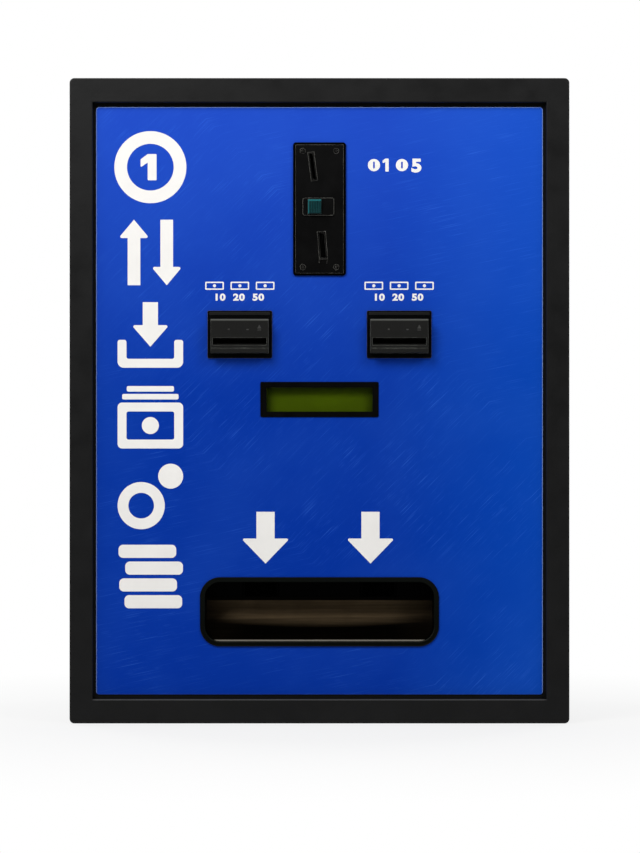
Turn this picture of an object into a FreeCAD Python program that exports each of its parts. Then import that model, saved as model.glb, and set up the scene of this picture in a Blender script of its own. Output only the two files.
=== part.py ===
"""Rear-loading coin changer that is built into a wall.

Customers see the trim frame with its face plate: a coin acceptor, two note readers, a display and a
payout cup. The cabinet behind the wall holds the readers' cassettes, two coin hoppers on a shelf, the
coin box and the electronics, and opens by a door at the rear.

Frame: x to the right as the customer sees it, y into the wall, z up. The origin is at the bottom of
the machine, mid-width, in the plane of the wall's face, where the back of the trim bears on it.
"""

import FreeCAD
import Part

import math
import os

import Sketcher

DOC = FreeCAD.newDocument("coin_changer")

TRIM_FRAME = [
    ("trim_width", 670, "width of the trim, over all"),
    ("trim_height", 865, "height of the trim, over all"),
    ("trim_depth", 22, "how far the trim stands out of the wall"),
    ("trim_side_face", 31, "width of the trim's face at the sides"),
    ("trim_end_face", 32.5, "width of the trim's face at top and bottom"),
    ("trim_corner", 6.5, "outer corner radius"),
    ("trim_sheet", 2, "sheet thickness of the trim"),
    ("trim_edge_round", 1.5, "rounding of the trim's front edges"),
    ("wall_overlap", 15, "how far the trim laps over the wall round the cabinet"),
    ("lip_gap", 1, "gap from the trim's rear lip to the cabinet"),
    ("panel_recess", 14, "depth from the trim's face to the face plate"),
    ("stud_radius", 2.5, "weld studs of the trim"),
    ("stud_clearance", 0.3, "radial clearance of the stud holes"),
    ("stud_tail", 6, "stud length behind the cabinet's flange"),
    ("stud_rise", 270, "pitch of the studs up the sides"),
    ("stud_across", 180, "distance of the top and bottom studs from the middle"),
    ("nut_width", 8, "across flats"),
    ("nut_height", 4, "nut height"),
]

CABINET = [
    ("cabinet_depth", 446, "depth of the cabinet"),
    ("cabinet_sheet", 2, "sheet thickness of the cabinet"),
    ("front_flange", 20, "width of the front flanges"),
    ("rear_flange", 22, "width of the rear flanges"),
    ("plate_thickness", 2, "face plate thickness"),
    ("plate_margin", 4, "face plate edge to the cabinet's outside"),
    ("overlay_side_gap", 4, "printed overlay, gap to the trim at the sides"),
    ("overlay_end_gap", 5.5, "printed overlay, gap to the trim at top and bottom"),
    ("overlay_corner", 4, "printed overlay, corner radius"),
    ("overlay_thickness", 1.2, "printed overlay, thickness"),
    ("foot_radius", 20, "radius of the feet"),
    ("foot_chamfer", 2, "chamfer of the feet"),
    ("foot_inset", 40, "feet, distance inside the cabinet's sides"),
    ("foot_front", 190, "front feet, distance behind the wall's face"),
    ("foot_setback", 40, "rear feet, distance before the cabinet's rear"),
    ("bolt_across", 440, "base bolt holes, distance across"),
    ("bolt_front", 100, "front base bolt holes behind the wall's face"),
    ("bolt_setback", 100, "rear base bolt holes before the cabinet's rear"),
    ("bolt_hole", 5.5, "radius of the base bolt holes"),
    ("vent_length", 60, "vent slots, length"),
    ("vent_width", 5, "vent slots, width"),
    ("vent_pitch", 12, "vent slots, pitch"),
    ("vent_inset", 45, "vent slots, distance from the cabinet's rear"),
    ("vent_drop", 40, "top vent slot below the cabinet's top"),
    ("vent_count", 6, "vent slots on each side, number"),
    ("door_vent_count", 5, "vent slots in each column of the door, number"),
    ("door_vent_pitch", 120, "columns of the door's vents, pitch"),
    ("shelf_height", 200, "hopper shelf above the cabinet's base"),
    ("shelf_front", 130, "front edge of the shelf behind the wall's face"),
    ("shelf_setback", 25, "rear edge of the shelf before the cabinet's rear"),
    ("shelf_fold", 15, "folded edges of the shelf"),
    ("fit_gap", 0.5, "gap round what passes through the face plate"),
]

COIN_ACCEPTOR = [
    ("acceptor_drop", 53, "acceptor flange below the trim's opening"),
    ("acceptor_width", 71, "acceptor flange, width"),
    ("acceptor_length", 179, "acceptor flange, length"),
    ("acceptor_corner", 4, "acceptor flange, corner radius"),
    ("acceptor_flange", 3, "acceptor flange, thickness"),
    ("acceptor_lap", 4, "lap of the flange over the overlay"),
    ("acceptor_border", 3.2, "flange edge to the raised field"),
    ("field_rise", 1.5, "rise of the field above the flange"),
    ("coin_slot_length", 34, "coin slot, length"),
    ("coin_slot_width", 4, "coin slot, width"),
    ("coin_slot_tilt", 7.5, "coin slot, lean to the left in degrees"),
    ("coin_slot_side", -9.2, "coin slot, centre across"),
    ("coin_slot_rise", 57, "coin slot, centre above the acceptor's centre"),
    ("return_slot_length", 33, "return slot, length"),
    ("return_slot_width", 6.6, "return slot, width"),
    ("return_slot_tilt", 4.6, "return slot, lean to the left in degrees"),
    ("return_slot_side", 4, "return slot, centre across"),
    ("return_slot_drop", 49, "return slot, centre below the acceptor's centre"),
    ("slot_lip", 2.3, "width of the raised lip round the slots"),
    ("lip_rise", 1.2, "height of the raised lip round the slots"),
    ("screw_across", 45, "acceptor screws, distance across"),
    ("screw_rise", 78, "acceptor screws, distance from the centre"),
    ("screw_head", 3.4, "acceptor screw head, radius"),
    ("screw_head_height", 1.8, "acceptor screw head, height"),
    ("screw_shank", 1.9, "acceptor screw shank, radius"),
    ("screw_length", 18, "acceptor screw shank, length"),
    ("screw_gap", 0.3, "gap round screw head and shank"),
    ("screw_sink", 1.2, "depth of the screw recesses"),
    ("drive_length", 3.4, "cross recess in the screw heads, length"),
    ("drive_width", 1.1, "cross recess in the screw heads, width"),
    ("drive_depth", 0.9, "cross recess in the screw heads, depth"),
    ("guard_width", 41.8, "button guard, width"),
    ("guard_height", 23.4, "button guard, height"),
    ("guard_corner", 3, "button guard, corner radius"),
    ("guard_rise", 3, "button guard, rise above the field"),
    ("guard_side", -1.5, "button guard, centre across"),
    ("guard_lift", 3, "button guard, centre above the acceptor's centre"),
    ("button_width", 17.4, "button cap, width"),
    ("button_height", 19, "button cap, height"),
    ("button_side", -6.5, "button, centre across"),
    ("button_gap", 0.35, "gap round the button"),
    ("button_proud", 4.5, "button cap stands out of the guard"),
    ("button_travel", 4, "button travel"),
    ("button_flange", 2.2, "button retaining flange, width all round"),
    ("button_flange_thickness", 1.5, "button retaining flange, thickness"),
    ("button_seat", 0.4, "gap from the retaining flange to the faceplate"),
    ("stem_radius", 3, "button stem"),
    ("stem_gap", 0.1, "radial clearance of the stem in its guide"),
    ("spring_radius", 5, "button spring, mean radius"),
    ("spring_wire", 0.45, "button spring, wire radius"),
    ("spring_turns", 5, "button spring, number of turns"),
    ("spring_pressed", 8.1, "room for the spring with the button pressed"),
    ("guide_wall", 4, "wall between the button's and the lever's chamber"),
    ("lever_arm", 23, "lever pivot above the stem"),
    ("lever_tail", 17, "lever below the stem"),
    ("lever_thickness", 4, "lever, thickness"),
    ("lever_width", 8, "lever, width"),
    ("lever_gap", 0.3, "gap from the stem to the lever"),
    ("lever_side_gap", 0.6, "gap at the lever's sides and round its hub"),
    ("stem_reach", 2, "stem stands out of its guide"),
    ("lever_hub", 4, "lever hub, radius"),
    ("lever_pin", 2, "lever trunnions, radius"),
    ("lever_pin_length", 4, "lever trunnions, length"),
    ("running_gap", 0.05, "radial clearance of shafts in their bearings"),
    ("lever_room", 12, "free space behind the lever"),
    ("lever_foot_room", 2, "free space under the lever"),
    ("body_half_width", 31, "acceptor body, half its width"),
    ("body_depth", 106, "acceptor body, depth"),
    ("body_corner", 3, "acceptor body, corner radius"),
    ("coin_path_depth", 98, "depth of the coin path in the body"),
    ("return_path_depth", 38, "depth of the return path in the body"),
]

NOTE_READERS = [
    ("note_spacing", 214, "distance between the two note readers"),
    ("note_drop", 310.9, "centre of the note bezels below the trim's opening"),
    ("note_width", 87, "note bezel flange, width"),
    ("note_flange_height", 64, "note bezel flange, height"),
    ("note_corner", 2, "note bezel flange, corner radius"),
    ("note_flange", 2.5, "note bezel flange, thickness"),
    ("note_lap", 3.5, "lap of the bezel flange over the overlay"),
    ("snout_width", 77.3, "note bezel snout, width"),
    ("snout_above", 20.3, "snout top above the bezel's centre"),
    ("snout_below", 25, "snout bottom below the bezel's centre"),
    ("snout_reach", 20, "snout stands out of the flange"),
    ("snout_round", 1.2, "snout edge rounding"),
    ("mouth_drop", 9.8, "note slot below the bezel's centre"),
    ("mouth_height", 10, "note mouth, height at the front"),
    ("mouth_depth", 13, "note mouth, depth to the slot"),
    ("note_slot_width", 72, "note slot, width"),
    ("note_slot_height", 4, "note slot, height"),
    ("chin_step", 3.4, "rib under the mouth, height"),
    ("chin_groove", 1.2, "groove under the rib, depth"),
    ("head_width", 92, "reader head, width"),
    ("head_depth", 176, "reader head, depth"),
    ("head_below", 24, "reader head below the note slot"),
    ("head_above", 44, "reader head above the note slot"),
    ("path_length", 120, "note path, length to the turn"),
    ("roller_inset", 46, "rollers behind the face plate"),
    ("roller_radius", 8, "rollers, radius"),
    ("roller_bite", 1.5, "rollers stand into the note path"),
    ("roller_shaft", 2.5, "roller shafts, radius"),
    ("roller_length", 64, "rollers, over the outer wheels"),
    ("wheel_width", 14, "roller wheels, width"),
    ("roller_pocket", 1.5, "gap round the rollers in the head"),
    ("head_corner", 4, "reader head, corner radius"),
    ("shaft_seat", 5, "roller shaft in each bearing"),
    ("cassette_depth", 130, "note cassette, depth"),
    ("cassette_height", 176, "note cassette, height"),
    ("cassette_setback", 26, "note cassette behind the face plate"),
    ("cassette_wall", 2.5, "note cassette, wall"),
    ("flap_roll", 2, "hinge roll of the cassette's flap, radius"),
    ("flap_gap", 0.2, "gap above and below the cassette's flap"),
    ("flap_seat", 0.05, "gap between the cassette and its flap"),
    ("grip_width", 66, "cassette grip, width"),
    ("grip_height", 20, "cassette grip, height"),
    ("grip_bar", 6, "cassette grip, bar thickness"),
    ("grip_depth", 14, "cassette grip, depth"),
]

DISPLAY = [
    ("display_drop", 87.4, "centre of the display below the note bezels"),
    ("display_width", 159, "display bezel, width"),
    ("display_tall", 47.5, "display bezel, height"),
    ("display_corner", 2, "display bezel, corner radius"),
    ("display_flange", 1, "display bezel flange, thickness"),
    ("display_lap", 3.5, "lap of the display bezel over the overlay"),
    ("display_view_width", 142.4, "visible field, width"),
    ("display_view_height", 32.3, "visible field, height"),
    ("display_sink", 8, "bezel tube behind the face plate"),
    ("window_thickness", 1.5, "clear window"),
    ("glass_thickness", 6, "display glass with its metal frame"),
    ("board_thickness", 1.6, "circuit boards"),
    ("board_margin", 12, "display board past the bezel tube, across"),
    ("board_lip", 6, "display board past the bezel tube, up and down"),
    ("standoff_radius", 2.8, "board standoffs, radius"),
    ("standoff_inset", 4, "standoffs from the display board's edges"),
]

PAYOUT_CUP = [
    ("cup_height", 149.1, "centre of the cup above the floor"),
    ("cup_width", 321, "cup flange, width"),
    ("cup_tall", 93, "cup flange, height"),
    ("cup_corner", 27, "cup flange, corner radius"),
    ("cup_flange", 3, "cup flange, thickness"),
    ("cup_rim", 6.7, "width of the cup's rim"),
    ("cup_rim_round", 1.2, "rounding of the cup's rim"),
    ("cup_wall", 2, "cup wall"),
    ("cup_depth", 63, "cup, depth behind the face plate"),
    ("scoop_radius", 55, "radius of the scoop"),
    ("scoop_sheet", 1.5, "scoop plate thickness"),
    ("scoop_gap", 0.3, "gap round the scoop plate"),
    ("chute_side", 80, "payout chutes, distance from the middle"),
    ("chute_width", 44, "payout chutes, width inside"),
    ("chute_wall", 1.5, "payout chutes, sheet"),
    ("chute_side_height", 18, "payout chutes, side wall height"),
    ("chute_gap", 1, "gap between hopper and chute"),
    ("window_margin", 3, "cup windows wider than the chutes"),
    ("window_head", 2, "cup windows below the cup's roof"),
]

HOPPERS = [
    ("hopper_spacing", 240, "distance between the hopper axes"),
    ("hopper_front", 150, "front of the hoppers behind the wall's face"),
    ("hopper_width", 150, "hopper base, width"),
    ("hopper_length", 180, "hopper base, depth"),
    ("hopper_base_height", 48, "hopper base, height"),
    ("hopper_corner", 8, "hopper base, corner radius"),
    ("disc_radius", 64, "payout disc, radius"),
    ("disc_gap", 2, "gap round the payout disc"),
    ("disc_thickness", 6, "payout disc, thickness"),
    ("disc_sink", 12, "depth of the disc's well"),
    ("disc_lift", 2, "disc above the well's floor"),
    ("pocket_radius", 15, "coin pockets, radius"),
    ("pocket_circle", 44, "coin pockets, circle radius"),
    ("pocket_count", 6, "coin pockets, number"),
    ("agitator_radius", 14, "agitator on the disc, radius"),
    ("agitator_height", 18, "agitator on the disc, height"),
    ("hopper_shaft", 6, "disc shaft, radius"),
    ("exit_width", 36, "coin exit, width"),
    ("exit_height", 7, "coin exit, height"),
    ("motor_size", 60, "hopper motor, width and depth"),
    ("motor_height", 28, "hopper motor, height"),
    ("motor_corner", 4, "hopper motor, corner radius"),
    ("motor_gap", 1, "gap round the motor"),
    ("socket_gap", 1, "gap under the disc's shaft in the motor"),
    ("bin_headroom", 20.8, "coin bin's rim below the reader heads"),
    ("bin_width", 190, "coin bin, width at the top"),
    ("bin_length", 230, "coin bin, depth at the top"),
    ("bin_wall", 3, "coin bin, wall"),
    ("bin_inset", 4, "coin bin's foot inside the hopper base"),
    ("rail_height", 12, "hopper rails, height"),
    ("rail_width", 10, "hopper rails, width"),
    ("rail_sheet", 2, "hopper rails, sheet"),
    ("rail_gap", 0.5, "gap from rail to hopper"),
]

COIN_BOX = [
    ("drop_front", 74, "coin drop tube behind the wall's face"),
    ("drop_depth", 24, "coin drop tube, depth"),
    ("drop_half_width", 20, "coin drop tube, half its width"),
    ("drop_wall", 1.5, "coin drop tube, wall"),
    ("drop_gap", 8, "coin drop tube above the coin box"),
    ("box_front", 66, "coin box behind the wall's face"),
    ("box_length", 265, "coin box, depth"),
    ("box_half_width", 100, "coin box, half its width"),
    ("box_height", 95, "coin box, height"),
    ("box_wall", 1.5, "coin box, wall"),
    ("bail_width", 76, "bail handle, width between the legs' middles"),
    ("bail_bend", 5, "bail handle, bend radius"),
    ("bail_drop", 38, "bail handle, length"),
    ("bail_radius", 3, "bail handle, rod radius"),
    ("bail_below_top", 30, "bail pivot below the coin box's top"),
    ("ear_thickness", 3, "bail ears, thickness"),
    ("ear_size", 6, "bail ears, half their height"),
    ("bail_reach", 7, "bail pivot behind the coin box"),
]

ELECTRONICS = [
    ("supply_depth", 200, "power supply, depth"),
    ("supply_height", 100, "power supply, height"),
    ("supply_width", 50, "power supply, width"),
    ("supply_setback", 40, "power supply before the cabinet's rear"),
    ("supply_drop", 190, "power supply below the cabinet's top"),
    ("supply_corner", 2, "power supply, corner radius"),
    ("grille_length", 25, "power supply's slots, length"),
    ("grille_width", 5, "power supply's slots, width"),
    ("grille_pitch", 12, "power supply's slots, pitch"),
    ("grille_depth", 2, "power supply's slots, depth"),
    ("grille_count", 7, "power supply's slots, number"),
    ("control_length", 200, "control board, length"),
    ("control_height", 160, "control board, height"),
    ("control_setback", 50, "control board before the cabinet's rear"),
    ("control_drop", 130, "control board below the cabinet's top"),
    ("control_standoff", 10, "control board standoffs, length"),
    ("control_inset", 8, "standoffs from the board's edges"),
    ("component_pitch", 24, "board components, pitch"),
    ("component_margin", 16, "board components, distance from the board's ends"),
    ("component_width", 16, "connectors and relays, width"),
    ("connector_height", 8, "connectors, height and depth"),
    ("relay_height", 16, "relays, height and depth"),
    ("relay_margin", 24, "relays below the board's top"),
    ("connector_count", 6, "connectors, number"),
    ("relay_count", 4, "relays, number"),
    ("processor_size", 32, "processor, width and height"),
    ("processor_depth", 4, "processor, depth"),
    ("inlet_rear", 90, "power inlet before the cabinet's rear"),
    ("inlet_height", 95, "power inlet above the floor"),
    ("inlet_flange_length", 84, "power inlet flange, length"),
    ("inlet_flange_height", 34, "power inlet flange, height"),
    ("inlet_flange", 3, "power inlet flange, thickness"),
    ("inlet_corner", 4, "power inlet flange, corner radius"),
    ("inlet_body_length", 72, "power inlet body, length"),
    ("inlet_body_height", 26, "power inlet body, height"),
    ("inlet_depth", 30, "power inlet body, depth"),
    ("socket_length", 24, "power socket, length"),
    ("socket_height", 16, "power socket, height"),
    ("socket_depth", 18, "power socket, depth"),
    ("socket_offset", 17, "socket and rocker from the inlet's middle"),
    ("contact_length", 11, "socket contacts, length"),
    ("contact_pitch", 7, "socket contacts, pitch"),
    ("contact_thickness", 2.3, "socket contacts, thickness"),
    ("contact_height", 4.7, "socket contacts, height"),
    ("rocker_length", 22, "rocker, length"),
    ("rocker_height", 14, "rocker, height"),
    ("rocker_gap", 0.6, "gap round the rocker"),
    ("rocker_sink", 12, "depth of the rocker's well"),
    ("rocker_depth", 6, "rocker, depth behind the flange's face"),
    ("rocker_rise", 3, "rocker's raised end stands out"),
    ("rocker_dip", 0.6, "rocker's other end lies in"),
    ("rocker_taper", 2.5, "rocker narrows at the rear, each end"),
    ("rocker_axis", 4, "rocker's axis behind the flange's face"),
    ("rocker_pin", 1.5, "rocker trunnions, radius"),
    ("rocker_pin_length", 2, "rocker trunnions, length in their bearings"),
    ("rocker_pin_gap", 0.3, "gap at the ends of the rocker trunnions"),
]

REAR_DOOR = [
    ("door_gap", 2, "gap between door and cabinet"),
    ("door_depth", 18, "depth of the door pan"),
    ("door_sheet", 2, "door sheet"),
    ("door_margin", 2, "door edge inside the cabinet's outside"),
    ("hinge_rise", 300, "outer hinges from the middle hinge"),
    ("knuckle_length", 25, "hinge knuckles, length"),
    ("knuckle_radius", 4.5, "hinge knuckles, radius"),
    ("knuckle_gap", 0.3, "gap between knuckles"),
    ("hinge_pin", 2.5, "hinge pins, radius"),
    ("hinge_leaf", 2, "hinge leaves, thickness"),
    ("hinge_leaf_length", 32, "hinge leaf on the cabinet, length"),
    ("hinge_offset", 5, "hinge axis outside the cabinet"),
    ("handle_inset", 62, "handle axis from the cabinet's outside"),
    ("escutcheon_width", 56, "handle escutcheon, width"),
    ("escutcheon_height", 120, "handle escutcheon, height"),
    ("escutcheon_thickness", 3, "handle escutcheon, thickness"),
    ("escutcheon_corner", 8, "handle escutcheon, corner radius"),
    ("grip_length", 96, "T-handle, length"),
    ("grip_thickness", 14, "T-handle, thickness"),
    ("grip_face", 16, "T-handle, height of the bar"),
    ("handle_corner", 6.5, "T-handle, corner radius of the bar"),
    ("handle_gap", 0.3, "gap from the T-handle to the escutcheon"),
    ("grip_stand", 18, "T-handle bar off the escutcheon"),
    ("neck_radius", 11, "T-handle neck, radius"),
    ("handle_shaft", 5, "handle shaft, radius"),
    ("shaft_clearance", 0.3, "radial clearance of the shaft in the door"),
    ("plug_radius", 7, "lock plug, radius"),
    ("plug_proud", 2, "lock plug stands out"),
    ("plug_gap", 0.3, "gap behind the lock plug"),
    ("keyway_height", 7, "keyway, height"),
    ("keyway_width", 1.8, "keyway, width"),
    ("keyway_depth", 14, "keyway, depth"),
    ("neck_floor", 3, "T-handle neck, floor under the lock plug"),
    ("rod_plane", 6, "upper latch rod in front of the cabinet's rear"),
    ("rod_spacing", 1, "gap between the planes of the two latch rods"),
    ("rod_thickness", 3, "latch rods, thickness"),
    ("rod_width", 16, "latch rods, width"),
    ("rod_clear", 2, "latch rod tips from the flanges when open"),
    ("cam_radius", 27, "latch cam, radius"),
    ("cam_thickness", 3, "latch cam, thickness"),
    ("cam_gap", 1.5, "gap from the cam to the rods"),
    ("cam_throw", 18, "cam pins from the axis"),
    ("cam_pin", 3, "cam pins, radius"),
    ("yoke_height", 17, "windows in the latch rods, height"),
    ("yoke_border", 5, "material round the windows"),
    ("guide_width", 28, "rod guides, width"),
    ("guide_height", 14, "rod guides, height"),
    ("guide_gap", 0.6, "gap round the rods in their guides"),
    ("guide_lip", 3, "rod guides, wall"),
    ("guide_end", 60, "outer rod guides from the door's ends"),
    ("guide_near", 110, "inner rod guides from the handle"),
]

SIZES = {
    "Trim frame": TRIM_FRAME,
    "Cabinet": CABINET,
    "Coin acceptor": COIN_ACCEPTOR,
    "Note readers": NOTE_READERS,
    "Display": DISPLAY,
    "Payout cup": PAYOUT_CUP,
    "Hoppers": HOPPERS,
    "Coin box": COIN_BOX,
    "Electronics": ELECTRONICS,
    "Rear door": REAR_DOOR,
}


class Length:
    """A length that carries the formula binding it to the sheet, and its value as a first guess."""

    def __init__(self, formula, value):
        self.formula = formula
        self.value = float(value)

    @staticmethod
    def of(number):
        return number if isinstance(number, Length) else Length(repr(number), number)

    def _with(self, sign, other, value):
        return Length(f"({self.formula} {sign} {other.formula})", value)

    def __add__(self, other):
        other = Length.of(other)
        return self._with("+", other, self.value + other.value)

    def __radd__(self, other):
        return Length.of(other) + self

    def __sub__(self, other):
        other = Length.of(other)
        return self._with("-", other, self.value - other.value)

    def __rsub__(self, other):
        return Length.of(other) - self

    def __mul__(self, other):
        other = Length.of(other)
        return self._with("*", other, self.value * other.value)

    __rmul__ = __mul__

    def __truediv__(self, other):
        other = Length.of(other)
        return self._with("/", other, self.value / other.value)

    def __neg__(self):
        return Length(f"(0 - {self.formula})", -self.value)


def sine(angle):
    """Sine of an angle in degrees."""
    angle = Length.of(angle)
    return Length(f"sin({angle.formula} * 1 deg)", math.sin(math.radians(angle.value)))


def cosine(angle):
    """Cosine of an angle in degrees."""
    angle = Length.of(angle)
    return Length(f"cos({angle.formula} * 1 deg)", math.cos(math.radians(angle.value)))


class Sheet:
    """The spreadsheet of driving dimensions. Each one is an attribute here, bound to its cell."""

    def __init__(self, groups):
        self.cells = DOC.addObject("Spreadsheet::Sheet", "Sizes")
        row = 1
        for title, entries in groups.items():
            self.cells.set(f"A{row}", title)
            row += 1
            for alias, value, note in entries:
                self.cells.set(f"A{row}", note)
                self.cells.set(f"B{row}", str(value))
                self.cells.setAlias(f"B{row}", alias)
                setattr(self, alias, Length(f"Sizes.{alias}", value))
                row += 1
        DOC.recompute()


S = Sheet(SIZES)


# Drawing in sketches -------------------------------------------------------------------------------


class Outline:
    """A sketch on one of a body's origin planes, whose points are pinned to bound coordinates."""

    def __init__(self, body, plane, level, name):
        self.sketch = body.newObject("Sketcher::SketchObject", name)
        role = plane + "_Plane"
        support = next(f for f in body.Origin.OriginFeatures if f.Role == role)
        self.sketch.AttachmentSupport = [(support, "")]
        self.sketch.MapMode = "FlatFace"
        level = Length.of(level)
        offset = -level if plane == "XZ" else level
        self.sketch.setExpression("AttachmentOffset.Base.z", offset.formula)
        self.constraints = []
        self.bindings = []

    def relate(self, *terms):
        self.constraints.append(Sketcher.Constraint(*terms))

    def bind(self, length, *terms):
        constraint = Sketcher.Constraint(*terms, length.value)
        constraint.Name = f"size{len(self.constraints)}"
        self.constraints.append(constraint)
        self.bindings.append((constraint.Name, length))

    def pin_x(self, geometry, end, x):
        self.bind(x, "DistanceX", -1, 1, geometry, end)

    def pin_y(self, geometry, end, y):
        self.bind(y, "DistanceY", -1, 1, geometry, end)

    def finish(self):
        """Adds the collected constraints to the sketch and binds them to the sheet."""
        self.sketch.addConstraint(self.constraints)
        for name, length in self.bindings:
            self.sketch.setExpression(f"Constraints.{name}", length.formula)
        return self.sketch

    def line(self, start, end):
        segment = Part.LineSegment(FreeCAD.Vector(*start, 0), FreeCAD.Vector(*end, 0))
        return self.sketch.addGeometry(segment, False)

    def join(self, geometries):
        for first, second in zip(geometries, geometries[1:] + geometries[:1]):
            self.relate("Coincident", first, 2, second, 1)

    def polygon(self, points):
        points = [(Length.of(x), Length.of(y)) for x, y in points]
        places = [(x.value, y.value) for x, y in points]
        lines = [self.line(a, b) for a, b in zip(places, places[1:] + places[:1])]
        self.join(lines)
        for line, (x, y) in zip(lines, points):
            self.pin_x(line, 1, x)
            self.pin_y(line, 1, y)

    def rectangle(self, left, bottom, right, top):
        left, bottom, right, top = (Length.of(v) for v in (left, bottom, right, top))
        corners = [(left.value, bottom.value), (right.value, bottom.value),
                   (right.value, top.value), (left.value, top.value)]
        lines = [self.line(a, b) for a, b in zip(corners, corners[1:] + corners[:1])]
        self.join(lines)
        for line, direction in zip(lines, ("Horizontal", "Vertical", "Horizontal", "Vertical")):
            self.relate(direction, line)
        self.pin_x(lines[0], 1, left)
        self.pin_y(lines[0], 1, bottom)
        self.pin_x(lines[2], 1, right)
        self.pin_y(lines[2], 1, top)

    def rounded(self, left, bottom, right, top, radius):
        left, bottom, right, top = (Length.of(v) for v in (left, bottom, right, top))
        radius = Length.of(radius)
        x0, y0, x1, y1, r = left.value, bottom.value, right.value, top.value, radius.value
        sides = [((x0 + r, y0), (x1 - r, y0)), ((x1, y0 + r), (x1, y1 - r)),
                 ((x1 - r, y1), (x0 + r, y1)), ((x0, y1 - r), (x0, y0 + r))]
        centres = [(x1 - r, y0 + r), (x1 - r, y1 - r), (x0 + r, y1 - r), (x0 + r, y0 + r)]
        lines = [self.line(a, b) for a, b in sides]
        arcs = []
        for quarter, centre in enumerate(centres):
            circle = Part.Circle(FreeCAD.Vector(*centre, 0), FreeCAD.Vector(0, 0, 1), r)
            start = (quarter - 1) * math.pi / 2
            arc = Part.ArcOfCircle(circle, start, start + math.pi / 2)
            arcs.append(self.sketch.addGeometry(arc, False))
        for corner in range(4):
            after = (corner + 1) % 4
            self.relate("Tangent", lines[corner], 2, arcs[corner], 1)
            self.relate("Tangent", arcs[corner], 2, lines[after], 1)
        for line, direction in zip(lines, ("Horizontal", "Vertical", "Horizontal", "Vertical")):
            self.relate(direction, line)
        for arc in arcs[1:]:
            self.relate("Equal", arcs[0], arc)
        self.bind(radius, "Radius", arcs[0])
        self.pin_y(lines[0], 1, bottom)
        self.pin_x(lines[1], 1, right)
        self.pin_y(lines[2], 1, top)
        self.pin_x(lines[3], 1, left)

    def bent_wire(self, radius, points):
        """An open path through square corners, the first run level, with a bend at each corner."""
        points = [(Length.of(x), Length.of(y)) for x, y in points]
        places = [FreeCAD.Vector(x.value, y.value, 0) for x, y in points]
        steps = [(b - a).normalize() * radius.value for a, b in zip(places, places[1:])]
        count = len(steps)
        lines = []
        for k, step in enumerate(steps):
            start = places[k] + (step if k > 0 else FreeCAD.Vector())
            end = places[k + 1] - (step if k < count - 1 else FreeCAD.Vector())
            lines.append(self.sketch.addGeometry(Part.LineSegment(start, end), False))
            self.relate("Vertical" if k % 2 else "Horizontal", lines[k])
        bends = []
        for before, after, corner in zip(steps, steps[1:], places[1:]):
            middle = corner + (after - before) * (1 - math.sqrt(0.5))
            bend = Part.Arc(corner - before, middle, corner + after)
            bends.append((self.sketch.addGeometry(bend, False), before.cross(after).z < 0))
        for k, (bend, clockwise) in enumerate(bends):
            near, far = (2, 1) if clockwise else (1, 2)
            self.relate("Tangent", lines[k], 2, bend, near)
            self.relate("Tangent", bend, far, lines[k + 1], 1)
        for bend, _ in bends[1:]:
            self.relate("Equal", bends[0][0], bend)
        self.bind(radius, "Radius", bends[0][0])
        self.pin_x(lines[0], 1, points[0][0])
        for k, line in enumerate(lines):
            x, y = points[k]
            if k % 2:
                self.pin_x(line, 1, x)
            else:
                self.pin_y(line, 1, y)
        self.pin_x(lines[-1], 2, points[-1][0])

    def circle(self, x, y, radius):
        x, y, radius = (Length.of(v) for v in (x, y, radius))
        shape = Part.Circle(FreeCAD.Vector(x.value, y.value, 0), FreeCAD.Vector(0, 0, 1), radius.value)
        index = self.sketch.addGeometry(shape, False)
        self.bind(radius, "Radius", index)
        self.pin_x(index, 3, x)
        self.pin_y(index, 3, y)


def polygon(*points):
    return lambda outline: outline.polygon(points)


def rectangle(left, bottom, right, top):
    return lambda outline: outline.rectangle(left, bottom, right, top)


def rounded(left, bottom, right, top, radius):
    return lambda outline: outline.rounded(left, bottom, right, top, radius)


def circle(x, y, radius):
    return lambda outline: outline.circle(x, y, radius)


def bent_wire(radius, *points):
    return lambda outline: outline.bent_wire(radius, points)


def slanted(x, y, length, width, tilt):
    """An upright rectangle about (x, y) that leans to the left by tilt degrees."""
    along = (-sine(tilt) * length / 2, cosine(tilt) * length / 2)
    across = (cosine(tilt) * width / 2, sine(tilt) * width / 2)
    signs = ((-1, -1), (-1, 1), (1, 1), (1, -1))
    return polygon(*[(x + a * along[0] + b * across[0], y + a * along[1] + b * across[1])
                     for a, b in signs])


def hexagon(x, y, flats):
    """A hexagon about (x, y) with two flats upright."""
    corner = flats / 2 / cosine(30)
    return polygon(*[(x + corner * cosine(60 * k + 30), y + corner * sine(60 * k + 30))
                     for k in range(6)])


# Features ------------------------------------------------------------------------------------------


def new_body(label):
    body = DOC.addObject("PartDesign::Body", label)
    body.Label = label
    return body


def draw(body, name, plane, level, shapes):
    outline = Outline(body, plane, level, name + "_outline")
    for shape in shapes:
        shape(outline)
    return outline.finish()


def pad(body, name, plane, start, end, *shapes):
    """Adds the outline's shapes from start to end, two places along the axis across the plane."""
    feature = body.newObject("PartDesign::Pad", name)
    feature.Profile = draw(body, name, plane, start, shapes)
    feature.setExpression("Length", (Length.of(end) - start).formula)
    feature.Reversed = plane == "XZ"
    body.Tip = feature
    return feature


def cut(body, name, plane, start, end, *shapes):
    """Removes the outline's shapes from start to end, two places along the axis across the plane."""
    feature = body.newObject("PartDesign::Pocket", name)
    feature.Profile = draw(body, name, plane, start, shapes)
    feature.setExpression("Length", (Length.of(end) - start).formula)
    feature.Reversed = plane != "XZ"
    body.Tip = feature
    return feature


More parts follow.
